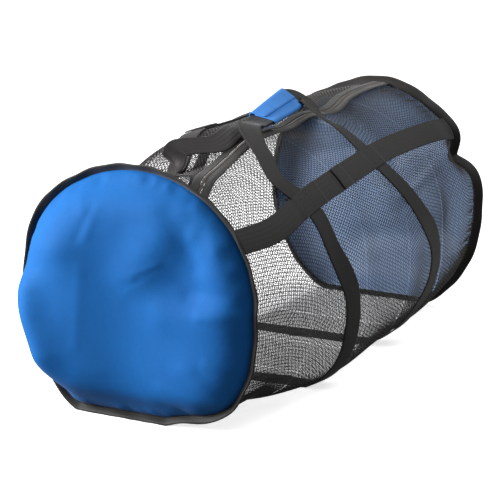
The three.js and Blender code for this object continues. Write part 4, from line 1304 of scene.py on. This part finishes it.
# The flat parts of its winding take this share of the webbing's width, and the last one ends short.
FLAT_SHARE, LAST_SHARE = 0.75, -0.25
clear = WEBBING_THICK + SEAM_GAP / 2 + WRAP_EASE
corner = WEBBING_THICK + SEAM_GAP / 2
straight = WEBBING_WIDTH / 2 - math.sqrt(clear**2 - corner**2) + 2 * SEAM_GAP
winding = WRAP_THICK + SEAM_GAP


def arc(start, stop, middle, reach):
    """Points round a bend, at a reach that may grow with the angle."""
    for degrees in np.linspace(start, stop, 11):
        angle = math.radians(degrees)
        yield middle + reach(degrees) * math.cos(angle), reach(degrees) * math.sin(angle)


section = [(x * straight, clear) for x in np.linspace(FLAT_SHARE, -FLAT_SHARE, 9)]
section += arc(90, 270, -straight, lambda _: clear)
section += [(x * straight, -clear) for x in np.linspace(-FLAT_SHARE, FLAT_SHARE, 9)]
section += arc(-90, 90, straight, lambda degrees: clear + (degrees + 90) / 180 * winding)
section += [(x * straight, clear + winding) for x in np.linspace(FLAT_SHARE, LAST_SHARE, 7)]
section = np.array(section)
way = np.gradient(section, axis=0)
section_out = unit(np.stack([way[:, 1], -way[:, 0]], -1))
run = np.concatenate([[0], np.cumsum(np.linalg.norm(np.diff(section, axis=0), axis=1))])
sheets = []
for height in (WRAP_THICK, 0):
    rows = []
    for share in np.linspace(-0.5, 0.5, WRAP_STEPS):
        middle, wide, face = grip_frame(share)
        place = section + section_out * height
        rows.append(middle + np.outer(place[:, 0], wide) + np.outer(place[:, 1], face))
    sheets.append(np.array(rows))
flat = np.stack(np.broadcast_arrays(np.linspace(0, GRIP_LENGTH, WRAP_STEPS)[:, None], run[None]), -1)
wrap_nylon, tree = finish_named("blue_hook_and_loop_nylon")
# The back of a hook-and-loop strip: bright dyed nylon in a plain weave of about 0.7 mm, drawn 1.3 mm apart.
on_cloth = node(tree, "ShaderNodeUVMap", uv_map="flat")
cloth_axes = node(tree, "ShaderNodeSeparateXYZ", {0: on_cloth}).outputs
WRAP_SPACING = 0.0013
weft, warp = threads(tree, cloth_axes[0], WRAP_SPACING), threads(tree, cloth_axes[1], WRAP_SPACING)
grain = node(tree, "ShaderNodeMath", {0: weft, 1: warp}, operation="MULTIPLY")
coordinates = node(tree, "ShaderNodeTexCoord")
clouds = node(
    tree, "ShaderNodeTexNoise", {"Vector": coordinates.outputs["Object"], "Scale": 60.0, "Detail": 5.0}
)
dye = node(tree, "ShaderNodeMix", {0: clouds, 6: linear("#2173c6"), 7: linear("#348ae0")}, data_type="RGBA")
creased = node(tree, "ShaderNodeBump", {"Strength": 0.4, "Distance": 0.002, "Height": clouds})
woven = node(
    tree, "ShaderNodeBump", {"Strength": 0.5, "Distance": 0.0003, "Height": grain, "Normal": creased}
)
surface = node(
    tree,
    "ShaderNodeBsdfPrincipled",
    {
        "Base Color": dye.outputs[2],
        "Roughness": 0.55,
        "Specular IOR Level": 0.4,
        "Sheen Weight": 0.15,
        "Sheen Roughness": 0.4,
        "Normal": woven,
    },
)
node(tree, "ShaderNodeOutputMaterial", {"Surface": surface})
# The stitches follow the free end of the winding, one row in from its edge.
hem_out = unit(sheets[0][:, -2] - sheets[1][:, -2])
hem_line = sheets[0][:, -2] + hem_out * THREAD * 0.3
hem = np.concatenate([hem_line, unit(np.gradient(hem_line, axis=0)), hem_out], axis=-1)
blue_stitches = evenly(hem[2:-2], STITCH_SPACING)
piece = wall_object("grip_cloth", *sheets, wrap_nylon, flat=flat)
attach(piece, "root")
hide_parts("grip_wrap")

# Stitches. Bonded black polyester thread, about six stitches to the inch, along the straps, the zip and the
# foot of both bindings.
FOOT_STITCHES, FOOT_STITCHES_LIFT = 0.006, 0.0003
for end in (0, 1):
    at = np.full(BINDING_TURNS, abs(end - FOOT_STITCHES))
    stitches.append(stitch_line(at, turns * 1.0, np.full(BINDING_TURNS, FOOT_STITCHES_LIFT)))
thread, tree = finish_named("bonded_polyester_thread")
# Twisted and waxed, so each stitch catches a small light.
coordinates = node(tree, "ShaderNodeTexCoord")
ply = node(tree, "ShaderNodeTexNoise", {"Vector": coordinates.outputs["Object"], "Scale": 1500.0})
shade = node(tree, "ShaderNodeMix", {0: ply, 6: linear("#1b1918"), 7: linear("#332f2c")}, data_type="RGBA")
surface = node(tree, "ShaderNodeBsdfPrincipled", {"Base Color": shade.outputs[2], "Roughness": 0.4})
node(tree, "ShaderNodeOutputMaterial", {"Surface": surface})
sewing = row_of_points("stitching", np.concatenate([evenly(line, STITCH_SPACING) for line in stitches]))
grown(sewing, setting, Length=STITCH_LENGTH, Width=THREAD, Height=THREAD, Finish=thread)
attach(sewing, "root")
hemming = row_of_points("grip_stitching", blue_stitches)
grown(hemming, setting, Length=STITCH_LENGTH, Width=THREAD, Height=THREAD, Finish=wrap_nylon)
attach(hemming, "root")
